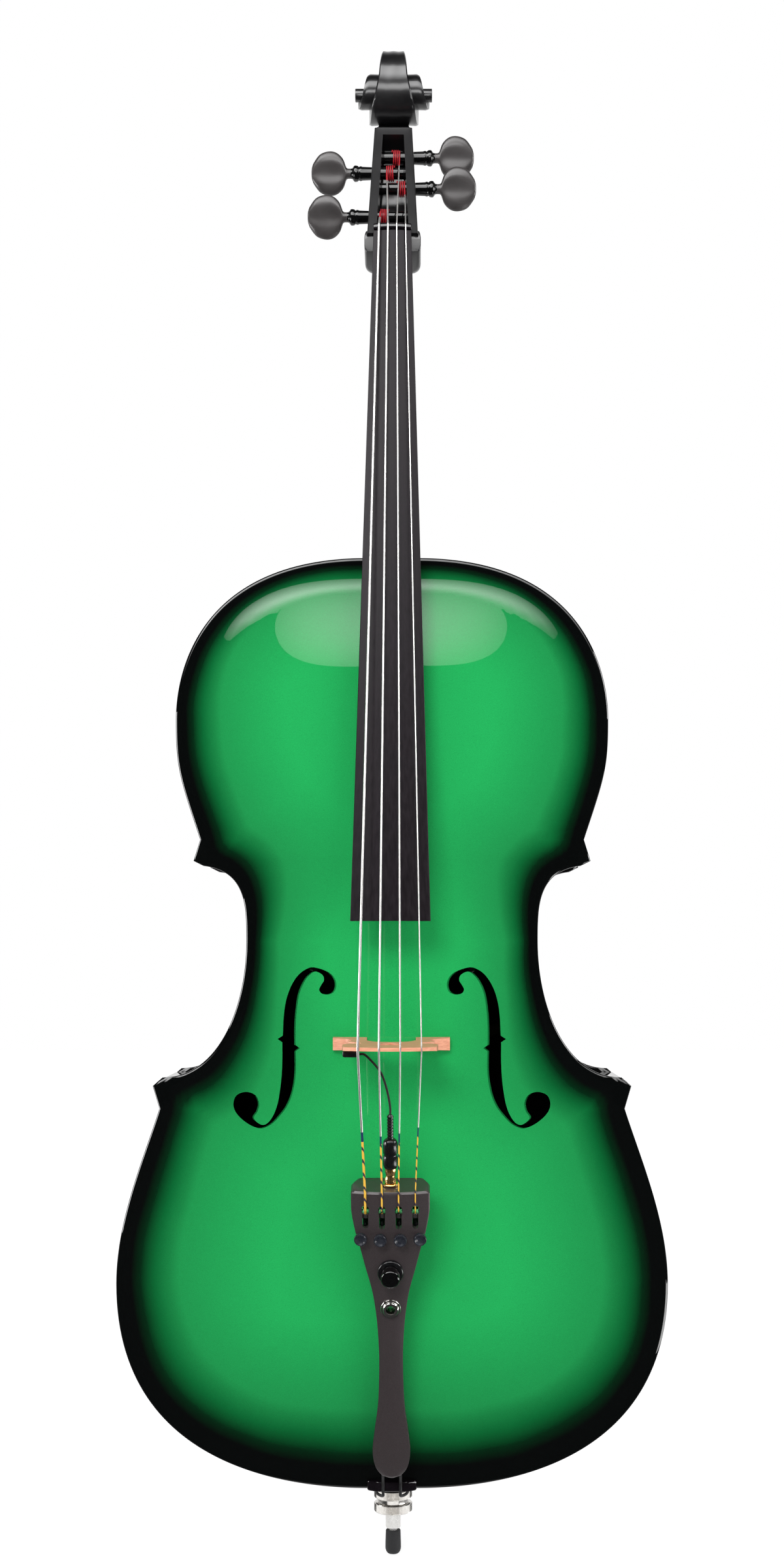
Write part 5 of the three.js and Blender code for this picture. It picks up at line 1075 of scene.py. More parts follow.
def scroll_plate(name, first, steps=110, flute=0.35, dish=1.0):
    """One turn of the scroll: rings across the plate, from near the middle of one face, over the rim,
    to the other face. The rim has two shallow flutes with a ridge between them, and each face is
    dished a little inside its edge. The radius shrinks by a fixed share with every turn. A flat fan
    closes the middle of each face."""
    turns = first + 0.988 * np.linspace(0, 1, steps)[:, None]
    rim = scroll_radius * np.minimum(1, scroll_shrink**turns)
    inner = 0.8 * scroll_radius * np.minimum(1, scroll_shrink ** (turns + 1))
    half = scroll_width(turns) / 2
    side = np.array([0, 0.3, 0.6, 0.85, 1])
    face_reach = inner + (rim - 0.9 - inner) * side
    face_x = half - dish * np.sin(np.pi * side) ** 0.8 * np.minimum(1, (rim - inner) / 12)
    across = np.linspace(-1, 1, 25)
    hollow = flute * np.sin(np.pi * np.abs(across)) ** 2 * np.minimum(1, rim / 24)
    round_off = 0.9 * np.clip((np.abs(across) - 0.93) / 0.07, 0, 1) ** 2
    rim_reach = rim - hollow - round_off
    x = np.hstack([face_x, half * -across[1:-1], -face_x[:, ::-1]])
    reach = np.hstack([face_reach, rim_reach[:, 1:-1], face_reach[:, ::-1]])
    angle = turns * 2 * np.pi
    points = stack(x, scroll_deep - reach * np.sin(angle), scroll_reach + reach * np.cos(angle))
    count, columns = x.shape
    hub = float(scroll_width(first + 0.5)) / 2
    hubs = [(side * hub, scroll_deep, scroll_reach) for side in (1, -1)]
    k = np.arange(count)
    after = (k + 1) % count
    wall = np.array(grid_faces(columns, count, around=True))
    wall = (wall % count) * columns + wall // count
    last = columns - 1
    first_hub, last_hub = np.full(count, count * columns), np.full(count, count * columns + 1)
    first_fan = np.column_stack([first_hub, after * columns, k * columns])
    last_fan = np.column_stack([last_hub, k * columns + last, after * columns + last])
    faces = wall.tolist() + first_fan.tolist() + last_fan.tolist()
    return build_mesh(name, placed(head_frame, np.vstack([points.reshape(-1, 3), hubs])), faces, crease=34)


def cross_bar(name, frame, radius, half, deep, up, sides=40, ease=0.5):
    """A round bar along X in a tilted frame, its ends rounded over."""
    turn = full_turn(sides)
    x = np.array([-half, -half + ease * 0.3, -half + ease, half - ease, half - ease * 0.3, half])[:, None]
    end = [radius - ease, radius - ease * 0.3, radius]
    r = np.array(end + end[::-1])[:, None]
    return loft_mesh(name, placed(frame, stack(x, deep + r * np.cos(turn), up + r * np.sin(turn))))


def peg_radius(x, side):
    """A friction peg tapers from its head's cheek to its thin end, across the box."""
    share = (side * x + pegbox_width / 2) / pegbox_width
    return (10.4 - 1.4 * (1 - share)) / 2


def peg_hole(i):
    wide, side = pegbox_width, peg_sides[i]
    x = np.array([-wide, wide])[:, None]
    radius = peg_radius(x, side) + 0.4
    turn = full_turn(40)
    ring = stack(x, peg_deep + radius * np.cos(turn), peg_places[i] + radius * np.sin(turn))
    return loft_mesh("peg_hole", placed(head_frame, ring))


neck_mesh = loft_mesh("carved_neck", neck_shaft())
added = [chin(), pegbox(), throat(), scroll_plate("outer_turn", -0.2), scroll_plate("inner_turn", 0.79)]
# The eye's bar has its own number of sides and depth, so that no edge of it lies on one of the scroll.
added.append(cross_bar("eye", head_frame, eye_radius, eye_half, scroll_deep + 0.05, scroll_reach, sides=42))
neck_mesh = combine(neck_mesh, added, "UNION")
cavity_along = np.linspace(pegbox_floor, pegbox_length - pegbox_floor, 8)
cavity_width, cavity_depth = pegbox_at(cavity_along)
cavity = head_loft(
    "cavity", cavity_along, cavity_width - 2 * pegbox_wall, -pegbox_floor, cavity_depth - pegbox_floor, 2.5
)
neck_mesh = combine(neck_mesh, [cavity] + [peg_hole(i) for i in range(4)], "DIFFERENCE", crease=36)
place_piece(neck_mesh, head_lacquer, ["neck"])
print("neck and head:", len(neck_mesh.polygons), "faces")

# %% [markdown]
# ## Fingerboard and nut
#
# The fingerboard is a long wedge of ebony, curved across so that the bow can reach each string. Under
# the lowest string it is planed flat, which leaves that string room to swing. Its underside is hollowed
# where it stands free over the body. The nut closes its upper end and spaces the strings.

# %% Fingerboard and nut
bevel_share = 0.45


def board_front(z, x):
    """The front of the fingerboard: an arc across, with a straight bevel from a place on the low
    string's side out to the edge."""
    half = board_width(z) / 2
    start = -bevel_share * half
    arc = board_crown(z) + sagitta(2 * np.minimum(np.abs(x), half), board_radius)
    edge, inner = [board_crown(z) + sagitta(2 * np.abs(v), board_radius) for v in (half, start)]
    flat_part = lerp(edge, inner, (x + half) / (half + start))
    return np.where(x < start, flat_part, arc)


def board_rings(z, hollow):
    """Sections of the fingerboard, each with a round front and a back that is hollowed by a parabola."""
    z = np.asarray(z, dtype=float)[:, None]
    half = board_width(z) / 2
    across = np.linspace(-1, 1, 49)
    front = stack(across * half, board_front(z, across * half), z)
    back_across = np.linspace(1, -1, 25)
    hollowed = np.asarray(hollow, dtype=float)[:, None] * (1 - back_across**2)
    back = stack(back_across * half, glue_plane(z) - clearance - hollowed, z)
    rings = np.concatenate([front, back], axis=1)
    radius = np.zeros(rings.shape[1])
    radius[[0, 48, 49, 73]] = 0.7
    return eased(rings, radius, steps=5)


hollow_end = body_top - channel_reach
free_z, glued_z = np.linspace(board_end, hollow_end, 20), np.linspace(body_top, nut_height, 20)
board_z = np.concatenate([free_z, glued_z])
board_hollow = np.where(board_z < hollow_end + 0.01, 5.0, 0.0)
board_mesh = loft_mesh("playing_board", board_rings(board_z, board_hollow) * MM)
place_piece(board_mesh, ebony, ["fingerboard"])

nut_crown, nut_groove = 1.4, 3.6
nut_z = nut_height + clearance + np.array([0, 0.4, 2, nut_groove, 4.8, 5.6, 6.0])
nut_drop = np.array([0.25, 0, 0, 0.1, 1.0, 2.4, 3.9])


def nut_rings():
    """The nut's sections: the board's own curve, carried a little further out, then rounded away
    towards the pegbox."""
    across = np.linspace(-1, 1, 41)
    half = board_nut_width / 2
    x = across * half
    front_y = board_crown(nut_height) - nut_crown + nut_drop[:, None] + sagitta(2 * np.abs(x), board_radius)
    front = stack(x, front_y, nut_z[:, None])
    glue = float(glue_plane(nut_height)) - clearance
    back = stack(np.array([half, -half]), np.full(2, glue), nut_z[:, None])
    rings = np.concatenate([front, back], axis=1)
    radius = np.zeros(rings.shape[1])
    radius[[0, 40]] = 0.8
    return eased(rings, radius, steps=4)


nut_mesh = loft_mesh("string_nut", nut_rings() * MM)
place_piece(nut_mesh, polished_ebony, ["nut"])
print("fingerboard and nut:", len(board_mesh.polygons), len(nut_mesh.polygons), "faces")

# %% [markdown]
# ## Pegs and their silk
#
# Each peg is a tapered shaft that friction holds in two holes, with a ringed collar outside and an oval
# thumb piece, dished on both faces for the fingers. The thumb pieces are turned so that their faces look
# at the viewer. The string's end is wrapped in red silk, and winds on the shaft as one helix.

# %% Pegs
peg_show, peg_neck_length, peg_head_length = 16.0, 6.0, 29.5
peg_head_height, peg_head_thickness, peg_tilt = 35.0, 12.0, 42.0
# The thumb piece: a place along it, then its height and thickness there, all as shares of the whole.
thumb_shares = [[0, 0.28, 0.75], [0.1, 0.68, 0.85], [0.28, 0.94, 0.95], [0.5, 1, 1]]
thumb_shares += [[0.75, 0.86, 0.9], [0.93, 0.5, 0.6], [0.985, 0.28, 0.36], [1, 0.12, 0.16]]


def peg_mesh(name, i):
    """A peg along its own axis: round rings for the shaft and collar, then ovals for the thumb piece.
    Where an oval faces the fingers, its thickness is drawn in towards the middle."""
    side = peg_sides[i]
    cheek = float(pegbox_at(peg_places[i])[0]) / 2
    collar = cheek + peg_show
    head = collar + peg_neck_length
    thin = -cheek - clearance
    shaft = [(thin, peg_radius(side * thin, side) - 0.8), (thin + 0.3, peg_radius(side * thin, side) - 0.2)]
    shaft += [(thin + 1, peg_radius(side * thin, side)), (cheek, peg_radius(side * cheek, side))]
    shaft += [(collar - 7.6, 5.5), (collar - 6.8, 5.85), (collar - 5.6, 5.95), (collar - 5.0, 5.5)]
    shaft += [(collar - 4.4, 5.55), (collar - 3.6, 6.3), (collar - 2.2, 6.6), (collar - 1.0, 6.55)]
    shaft += [(collar - 0.3, 6.05), (collar + 0.2, 5.3), (collar + 0.9, 4.35), (collar + 2.4, 4.0)]
    shaft = np.array(shaft + [(head - 1.2, 4.05)])
    thumb = smooth_line(thumb_shares, 42)
    along = np.concatenate([shaft[:, 0], head + thumb[:, 0] * peg_head_length])[:, None]
    tall = np.concatenate([shaft[:, 1], np.maximum(thumb[:, 1], 0.1) * peg_head_height / 2])[:, None]
    thick = np.concatenate([shaft[:, 1], np.maximum(thumb[:, 2], 0.1) * peg_head_thickness / 2])[:, None]
    turn = full_turn(56)
    dish = 1 - 0.42 * np.clip((tall / thick - 1.3) / 1.5, 0, 1) * np.cos(turn) ** 8
    flat, high = thick * np.cos(turn) * dish, tall * np.sin(turn)
    tilt = math.radians(peg_tilt)
    deep = peg_deep + flat * math.cos(tilt) - high * math.sin(tilt)
    up = peg_places[i] + flat * math.sin(tilt) + high * math.cos(tilt)
    mesh = loft_mesh(name, placed(head_frame, stack(side * along, deep, up)), crease=48)
    mesh.materials.append(black_lacquer)
    paint_part(mesh, satin_peg, lambda centre: side * centre[:, 0] > head - 3)
    return mesh


# %% Where the strings run
string_names = ("c", "g", "d", "a")
string_radii = np.array([1.9, 1.5, 1.2, 1.0]) / 2
string_shares = np.arange(4) - 1.5
winding_radius, winding_pitch, winding_loops, shaft_radius = 0.55, 1.6, 4, 5.2
nut_spacing, bridge_spacing, slot_spacing = 7.25, 16.0, 12.8
head_inverse = np.linalg.inv(np.array(head_frame))


def nut_top(i):
    """The place where a string bends over the nut."""
    x = string_shares[i] * nut_spacing
    front = board_crown(nut_height) - nut_crown + sagitta(2 * abs(x), board_radius)
    return np.array([x, front - clearance - string_radii[i], nut_height + clearance + nut_groove])


def coil_of(i):
    """A string's coil on its peg: where it starts along the peg, its side, its radius, and the angle at
    which the straight string touches it, from the tangent to a circle."""
    inside = float(pegbox_at(peg_places[i])[0]) / 2 - pegbox_wall - clearance
    width = winding_loops * winding_pitch + 2 * winding_radius
    outward = np.sign(string_shares[i])
    middle = outward * min(inside - width / 2 - clearance, abs(string_shares[i] * nut_spacing) * 0.62)
    start = middle + outward * winding_loops * winding_pitch / 2
    radius = shaft_radius + clearance + winding_radius
    nut_point = apply(head_inverse, nut_top(i)[None] * MM)[0] / MM
    reach = np.array([nut_point[2] - peg_places[i], nut_point[1] - peg_deep])
    angle = math.atan2(reach[1], reach[0]) + math.acos(radius / np.linalg.norm(reach))
    return start, outward, radius, angle


def coil_path(i, steps=40):
    """A helix of so many loops. Its first step leaves the shaft along the straight string."""
    start, outward, radius, angle = coil_of(i)
    k = np.arange(winding_loops * steps + 1) / steps
    turn = angle - k * 2 * np.pi
    ring = stack(start - outward * winding_pitch * k, radius * np.sin(turn), radius * np.cos(turn))
    back = np.array([0, math.cos(angle), -math.sin(angle)]) * 2 * winding_radius
    ring = np.vstack([ring[:1] + back, ring])
    return placed(head_frame, ring + (0, peg_deep, peg_places[i]))


for i, name in enumerate(string_names):
    place_piece(peg_mesh(f"tuning_peg_{name}", i), satin_peg, [f"peg_{name}"], f"peg_{name}")
    coil = tube_mesh(f"silk_coil_{name}", coil_path(i), winding_radius * MM, 14, (1, 0, 0))
    place_piece(coil, red_silk, [f"winding_{name}"], f"peg_{name}")
print("pegs and coils placed")

# %% [markdown]
# ## Bridge
#
# A bridge is sawn from a wedge of maple, thick at the feet and thin at the crown, and cut through with
# a heart and two side openings so that it is light. Here a block that tapers the same way is cut to the
# drawn outline. Its feet follow the arch that they stand on.

# %% Bridge
foot_span, foot_length, foot_depth, crown_depth = 93.0, 27.0, 12.0, 2.8
crown_span, crown_radius = 71.0, 62.0
bridge_base = float(arch_height(foot_span / 2, bridge_height, top_rise)) - plate_thickness / 2
bridge_tall = bridge_crown - bridge_base


def bridge_thickness(height):
    """Twelve millimetres at the feet to under three at the crown, quickly at first."""
    rise = np.clip((height - bridge_base) / bridge_tall, 0, None)
    return lerp(foot_depth, crown_depth, np.minimum(1, rise * 1.1) ** 0.6)


def bridge_at(x, share):
    """A point of the bridge's face: x, and a height given as a share of the bridge's own."""
    return [x, bridge_base + bridge_tall * share]


def bridge_blank():
    """A block as wide as the bridge, both of whose faces follow its taper."""
    x = np.linspace(-50, 50, 61)[None, :]
    height = np.linspace(-2, bridge_crown + 2, 90)[:, None]
    half = bridge_thickness(height) / 2
    faces = [stack(x, front_edge - height, bridge_place + side * half) for side in (1, -1)]
    rows, columns = height.size, x.size
    edge = [list(range(columns)), [(rows - 1) * columns + k for k in range(columns)]]
    edge += [[k * columns for k in range(rows)], [k * columns + columns - 1 for k in range(rows)]]
    sheet = grid_faces(rows, columns) + grid_faces(rows, columns, first=rows * columns)
    walls = []
    for line in edge:
        line = np.array(line)
        pair = [line[:-1], line[1:], line[1:] + rows * columns, line[:-1] + rows * columns]
        walls += np.stack(pair, axis=1).tolist()
    return build_mesh("maple_bridge", np.concatenate(faces).reshape(-1, 3) * MM, sheet + walls, crease=40)


def bridge_outline():
    """Half of the outline from the arch between the legs, round a foot, the hip and the side opening,
    to the crown, then the same mirrored. The crown is an arc."""
    foot, crown = foot_span / 2, crown_span / 2
    inner = foot - foot_length
    leg = [(0, 0.41), (inner * 0.62, 0.38), (inner * 0.98, 0.27), (inner * 1.08, 0.14), (inner, 0.09)]
    sole_x = np.linspace(inner, foot, 12)
    sole = np.column_stack([sole_x, arch_height(sole_x, bridge_height, top_rise) + 0.05])
    hip = [(1, 0.09), (0.88, 0.12), (0.72, 0.17), (0.66, 0.3), (0.73, 0.37), (0.62, 0.42), (0.5, 0.46)]
    ear = [(0.53, 0.53), (0.72, 0.57), (0.79, 0.66)]
    side = [(foot * x, share) for x, share in hip + ear] + [(crown, 0.84)]
    leg, side = [[bridge_at(x, share) for x, share in part] for part in (leg, side)]
    arc_x = np.linspace(crown, 0, 16)
    arc = np.column_stack([arc_x, bridge_crown - sagitta(2 * arc_x, crown_radius)])
    right = np.vstack([smooth_line(leg, 30), sole, smooth_line(side, 90), arc])
    return mirrored(right)


def bridge_heart():
    """The heart: two lobes that meet in a point below and in a notch above."""
    half = [[0, 0.49], [0.09, 0.54], [0.18, 0.62], [0.205, 0.68], [0.13, 0.715], [0.05, 0.70], [0, 0.655]]
    line = smooth_line(np.array(half) * (foot_span / 2, 1), 40)
    line = np.column_stack(bridge_at(line[:, 0], line[:, 1]))
    return mirrored(line)


def upright_prism(name, outline_points, near, far):
    """An outline in x and height above the plate's edge, carried along the strings."""
    x, height = np.asarray(outline_points).T
    rings = [stack(x, front_edge - height, z) for z in (near, far)]
    return build_mesh(name, np.concatenate(rings) * MM, tube_faces(2, len(x)), crease=30)


bridge_mesh = bridge_blank()
span = (bridge_place - 20, bridge_place + 20)
bridge_mesh = combine(bridge_mesh, [upright_prism("bridge_cutter", bridge_outline(), *span)], "INTERSECT")
bridge_mesh = combine(bridge_mesh, [upright_prism("heart_cutter", bridge_heart(), *span)], "DIFFERENCE")
place_piece(bridge_mesh, maple, ["bridge"])
print("bridge:", len(bridge_mesh.polygons), "faces")

# %% [markdown]
# ## Strings
#
# Each string is a steel core wound with flat metal ribbon, which looks white in soft light. It hooks in
# the tailpiece, bends over the tailpiece's edge, the bridge and the nut, and ends at its coil. Below the
# bridge the winding stops, and silk wraps the string: a short blue band, then gold with dark flecks.
# The last stretch before the coil is wrapped in the coil's red.

# %% Strings
lever_pivot_reach, lever_pivot_depth, lever_thickness, lever_width = 21.0, 14.0, 4.0, 4.4
slot_start, slot_length, slot_width = 11.0, 19.0, 5.6
tail_length, tail_width, tail_depth, tail_wall, tail_crown = 245.0, 60.6, 29.0, 3.2, 3.5
# The tailpiece from its head to its tail: a place along it, then its width and depth as shares.
tail_shares = [[0, 1, 1], [0.06, 1, 1], [0.135, 0.9, 1], [0.19, 0.78, 1], [0.255, 0.65, 1]]
tail_shares += [[0.34, 0.475, 1], [0.43, 0.37, 0.98], [0.53, 0.317, 0.75], [0.62, 0.31, 0.55]]
tail_shares += [[0.74, 0.347, 0.48], [0.84, 0.445, 0.46], [0.91, 0.495, 0.45], [0.965, 0.41, 0.42]]
tail_shares = np.array(tail_shares + [[1, 0.2, 0.36]])
# How far a string's bend is softened, how long the red silk is before the coil, and how near to the
# tailpiece's head end a string leaves it.
bend_reach, red_run, edge_reach = 1.2, 14.0, 0.3


def tail_at(reach):
    """The tailpiece's half width and depth at a place along it."""
    share = np.asarray(reach, dtype=float) / tail_length
    width, depth = [np.interp(share, tail_shares[:, 0], tail_shares[:, k]) for k in (1, 2)]
    return width * tail_width / 2, depth * tail_depth


def tail_front(x, reach):
    """How far the crowned front stands out: a parabola across the width."""
    return -tail_crown * (1 - np.minimum(1, np.abs(x) / tail_at(reach)[0]) ** 2)


def in_tail(x, deep, reach):
    """A place of the tailpiece's own frame in the cello's, in millimetres."""
    return placed(tail_frame, [[x, deep, -reach]])[0] / MM


def string_path(i):
    """The string's points, with each bend between straight runs softened by a short curve."""
    radius = string_radii[i]
    lift = radius + clearance
    slot_x = string_shares[i] * slot_spacing
    bridge_x = string_shares[i] * bridge_spacing
    front = crown_front + sagitta(2 * abs(bridge_x), crown_radius) - lift
    start, _, coil_radius, angle = coil_of(i)
    leave = coil_radius * np.array([math.cos(angle), math.sin(angle)])
    touch = placed(head_frame, (start, peg_deep + leave[1], peg_places[i] + leave[0])) / MM
    along = touch - nut_top(i)
    along /= np.linalg.norm(along)
    swept = coil_radius + winding_radius + radius + clearance
    short = math.sqrt(swept**2 - coil_radius**2) + 2 * winding_radius
    hook = lever_pivot_reach - lever_thickness / 2 - clearance
    corner = slot_start + slot_width / 2
    points = [
        in_tail(slot_x, tail_wall / 2, hook),
        in_tail(slot_x, tail_front(slot_x, slot_start) - lift * 0.7, corner),
        in_tail(slot_x, tail_front(slot_x, slot_start / 2) - lift, slot_start / 2),
        in_tail(slot_x, tail_front(slot_x, edge_reach) - lift, edge_reach),
        (bridge_x, front, bridge_place - crown_depth / 2),
        (bridge_x, front, bridge_place + crown_depth / 2),
        nut_top(i),
        touch - along * (short + red_run),
        touch - along * short,
    ]
    points = np.array(points)
    near, far = [
        points[1:-1] + step * np.minimum(0.3, bend_reach / np.linalg.norm(step, axis=1))[:, None]
        for step in (points[:-2] - points[1:-1], points[2:] - points[1:-1])
    ]
    bends = bend(near, points[1:-1], far, 5)
    return np.vstack([points[:1], bends.reshape(-1, 3), points[-1:]])


# The heights where each string's blue band begins and ends, in millimetres.
silk_ends = np.array([[363.0, 370.4], [361.5, 367.4], [362.3, 369.7], [367.0, 374.0]])


def string_mesh(name, i):
    """A tube on the string's path, with rings added where its wrapping changes colour."""
    path = string_path(i)
    ends = silk_ends[i]
    run = path[:, 2]
    stop = np.argmax(run > bridge_place - 10)
    low, high = path[stop - 1], path[stop]
    extra = low + (high - low) * ((ends - low[2]) / (high[2] - low[2]))[:, None]
    path = np.vstack([path[:stop], extra, path[stop:]])
    mesh = tube_mesh(name, path * MM, string_radii[i] * MM, 16)
    mesh.materials.append(steel_winding)
    paint_part(mesh, gold_silk, lambda centre: centre[:, 2] < ends[0])
    paint_part(mesh, blue_silk, lambda centre: (centre[:, 2] > ends[0]) & (centre[:, 2] < ends[1]))
    paint_part(mesh, red_silk, lambda centre: centre[:, 2] > path[-2, 2] - 1)
    return mesh


steel_winding = grained_finish(
    "steel_winding", (0.66, 0.65, 0.63), (0.80, 0.79, 0.77), 0.34, 900, metallic=0.85
)
for i, name in enumerate(string_names):
    place_piece(string_mesh(f"wound_string_{name}", i), steel_winding, [f"string_{name}"])
print("strings placed")

# %% [markdown]
# ## Tailpiece
#
# The tailpiece is moulded in a dark composite, as a shell that is open behind its head, where the fine
# tuners and the volume control sit. Its front is slightly crowned. Keyhole slots let a string's ball
# through and then hold it, and the narrow tail ends in a small foot with two holes for the tail gut.

# %% The moulded shell
tuner_reach, tuner_splay = 36.0, 9.0
knob_reach, output_reach, input_depth = 65.0, 96.0, 13.0
gut_spacing, gut_seat, gut_depth, gut_radius = 14.0, 8.0, 5.0, 1.2
end_round, cavity_reach = 1.3, 112.0
slot_places = string_shares * slot_spacing


def tail_shell(steps=130):
    """Sections along the tailpiece from smooth curves through its widths and depths. Each has a
    crowned front, eased front corners, and a back whose corners are taken off. Both ends are rounded
    over by drawing the last few sections in."""
    line = smooth_line(tail_shares, steps)
    line = line[(line[:, 0] > 0.004) & (line[:, 0] < 0.994)]
    share, width, depth = np.vstack([[[0, 1, 1]], line, tail_shares[-1:]]).T
    width = np.minimum(width, 1)
    depth = np.minimum(depth, 1)
    reach = share * tail_length
    ends = [np.clip(1 - run / end_round, 0, 1) for run in (reach, tail_length - reach)]
    draw = sum(end_round * (1 - np.sqrt(1 - end**2)) for end in ends)
    half = (width * tail_width / 2 - draw)[:, None]
    near = draw[:, None]
    far = (depth * tail_depth - draw)[:, None]
    crown = (tail_crown * np.minimum(1, depth + 0.2))[:, None]
    across = np.linspace(-1, 1, 27)
    front = stack(half * across, near - crown * (1 - across**2), -reach[:, None])
    back_x = np.array([1, 0.84, -0.84, -1])
    back_y = np.array([0.6, 1, 1, 0.6])
    back = stack(half * back_x, lerp(near, far, back_y), -reach[:, None])
    rings = np.concatenate([front, back], axis=1)
    radius = np.zeros(rings.shape[1])
    radius[[0, 26]] = 1.6
    radius[27:] = 3
    return loft_mesh("moulded_tailpiece", placed(tail_frame, eased(rings, radius, steps=5)), crease=46)


def tail_prism(name, polygon, near, far):
    """A shape drawn on the tailpiece's front, in x and reach, carried through it."""
    polygon = np.asarray(polygon)
    rings = [stack(polygon[:, 0], y, -polygon[:, 1]) for y in (near, far)]
    points = placed(tail_frame, np.concatenate(rings))
    return build_mesh(name, points, tube_faces(2, len(polygon)), crease=30)


def round_hole(name, reach, radius):
    turn = full_turn(48)
    circle = np.column_stack([radius * np.cos(turn), reach + radius * np.sin(turn)])
    return tail_prism(name, circle, -8, 12)


def keyhole(x):
    """A slot with round ends, wider at its head end, where a string's ball goes in."""
    turn = np.linspace(0, np.pi, 20)
    head, foot = slot_width / 2, slot_width / 2 * 0.8
    top = np.column_stack([x - head * np.cos(turn), slot_start + head - head * np.sin(turn)])
    low = np.column_stack([x + foot * np.cos(turn), slot_start + slot_length - foot + foot * np.sin(turn)])
    neck = slot_start + slot_width * 1.15
    sides = [[x + head, neck], [x + foot, neck + 1.2]]
    left = [[x - foot, neck + 1.2], [x - head, neck]]
    return tail_prism("keyhole", np.vstack([top, sides, low, left]), -8, 12)


def tail_cavity():
    """The space behind the head: it keeps the wall's thickness inside the outline."""
    end_wall = tail_wall * 1.4
    reach = np.linspace(end_wall, cavity_reach, 40)
    half, open_side = tail_at(reach)[0] - tail_wall, tail_depth + 2
    places = ((-half, tail_wall), (half, tail_wall), (half, open_side), (-half, open_side))
    corners = np.stack([stack(x, y, -reach) for x, y in places], axis=1)
    return loft_mesh("cavity", placed(tail_frame, eased(corners, [2, 2, 0.2, 0.2], steps=5)))


def along_tail(name, profile, x, depth, sides=48):
    """A turned piece whose axis runs along the tailpiece, up from its end."""
    place = Matrix.Translation(Vector((x, depth, 0)) * MM)
    return turned_mesh(name, profile, tail_frame @ place, sides)


def tuner_turned(name, profile, i, sides):
    """A piece turned about a tuner screw's axis, which fans out sideways with its string."""
    lean = Matrix.Rotation(math.radians(string_shares[i] / 1.5 * tuner_splay), 4, "Z")
    tip = Matrix.Rotation(math.radians(90), 4, "X")
    base = Matrix.Translation(Vector((slot_places[i], lever_pivot_depth, -tuner_reach)) * MM)
    return turned_mesh(name, profile, tail_frame @ base @ lean @ tip, sides)


def tuner_hole(i):
    low, high = lever_pivot_depth - tail_wall - 2, lever_pivot_depth + tail_crown + 2
    return tuner_turned("hole", [[2.1, low], [2.1, high]], i, 40)


shell = tail_shell()
holes = [tail_cavity()] + [keyhole(x) for x in slot_places] + [tuner_hole(i) for i in range(4)]
holes += [round_hole("knob_hole", knob_reach, 5.3), round_hole("jack_hole", output_reach, 5.5)]
holes.append(along_tail("input_hole", [[4.8, -7], [4.8, 3]], 0, input_depth))
gut_bore = [[1.5, -tail_length - 2], [1.5, -tail_length + gut_seat]]
holes += [along_tail("gut_hole", gut_bore, side * gut_spacing / 2, gut_depth) for side in (-1, 1)]
shell = combine(shell, holes, "DIFFERENCE", crease=42)
place_piece(shell, composite, ["tailpiece"])
print("tailpiece:", len(shell.polygons), "faces")

# %% [markdown]
# ## Fine tuners
#
# A fine tuner is a bent lever on an axle. The string pulls its hook, and a screw with a dished head
# presses its arm. Turning the screw tilts the lever a few degrees, which draws the string tighter.

# %% Levers, axle and screws


def lever_mesh(name, i):
    """The lever's side view, a hook, a boss and an arm, with eased corners, carried over its width."""
    boss, half = lever_thickness, lever_thickness / 2
    arm = tuner_reach - lever_pivot_reach + lever_thickness
    hook = lever_pivot_depth - tail_wall / 2
    shape = [[-boss * 0.8, -boss * 0.35], [-boss * 0.8, boss * 0.35], [-half, boss * 0.8], [-half, hook]]
    shape += [[half, hook], [half, half], [arm, half], [arm, -half], [boss * 0.8, -half]]
    shape += [[boss * 0.5, -boss * 0.8], [-boss * 0.4, -boss * 0.7]]
    shape = eased(shape, [1.2, 1.2, 1, 0.8, 0.8, 1.5, 0.8, 0.8, 1, 1.2, 1.2], steps=5)
    inner = lerp(shape.mean(axis=0), shape, 0.985)
    places = lever_width / 2 * np.array([-1, -0.86, 0.86, 1])
    rings = [
        stack(slot_places[i] + x, lever_pivot_depth - section[:, 1], -lever_pivot_reach - section[:, 0])
        for x, section in zip(places, (inner, shape, shape, inner))
    ]
    mesh = loft_mesh(name, placed(tail_frame, np.array(rings)))
    bore = cross_bar("bore", tail_frame, 1.5, 5, lever_pivot_depth, -lever_pivot_reach)
    bore.transform(Matrix.Translation(Vector((slot_places[i], 0, 0)) * MM))
    return combine(mesh, [bore], "DIFFERENCE")


def screw_mesh(name, i):
    """A screw from its tip over the lever's arm to its dished head, whose rim is round for the fingers."""
    surface = lever_pivot_depth - float(tail_front(slot_places[i], tuner_reach))
    under, top = surface + 4.0, surface + 4.0 + 5.2
    profile = [[0.2, 2.3], [1.3, 2.35], [1.7, 2.9], [1.7, surface + 0.9], [2.4, surface + 1.2]]
    profile += [[2.5, surface + 1.5], [2.5, under - 0.2], [2.9, under], [4.2, under + 0.7]]
    profile += [[4.85, under + 1.5], [5.0, under + 2.1]]
    profile += [[5.0, top - 1.2], [4.9, top - 0.6], [4.65, top - 0.15], [4.25, top], [3.8, top - 0.25]]
    profile += [[3.1, top - 0.9], [2.0, top - 1.5], [0.8, top - 1.75], [0.1, top - 1.77]]
    return tuner_turned(name, profile, i, 64)


for i, name in enumerate(string_names):
    lever = lever_mesh(f"fine_tuner_lever_{name}", i)
    place_piece(lever, nickel, [f"tuner_lever_{name}"], f"lever_{name}")
    screw = screw_mesh(f"fine_tuner_screw_{name}", i)
    place_piece(screw, slate_plastic, [f"tuner_screw_{name}"], f"screw_{name}")
axle_half = float(tail_at(lever_pivot_reach)[0]) - tail_wall - clearance
axle = cross_bar("tuner_cross_pin", tail_frame, 1.2, axle_half, lever_pivot_depth, -lever_pivot_reach)
place_piece(axle, nickel, ["tuner_axle"])
print("fine tuners placed")

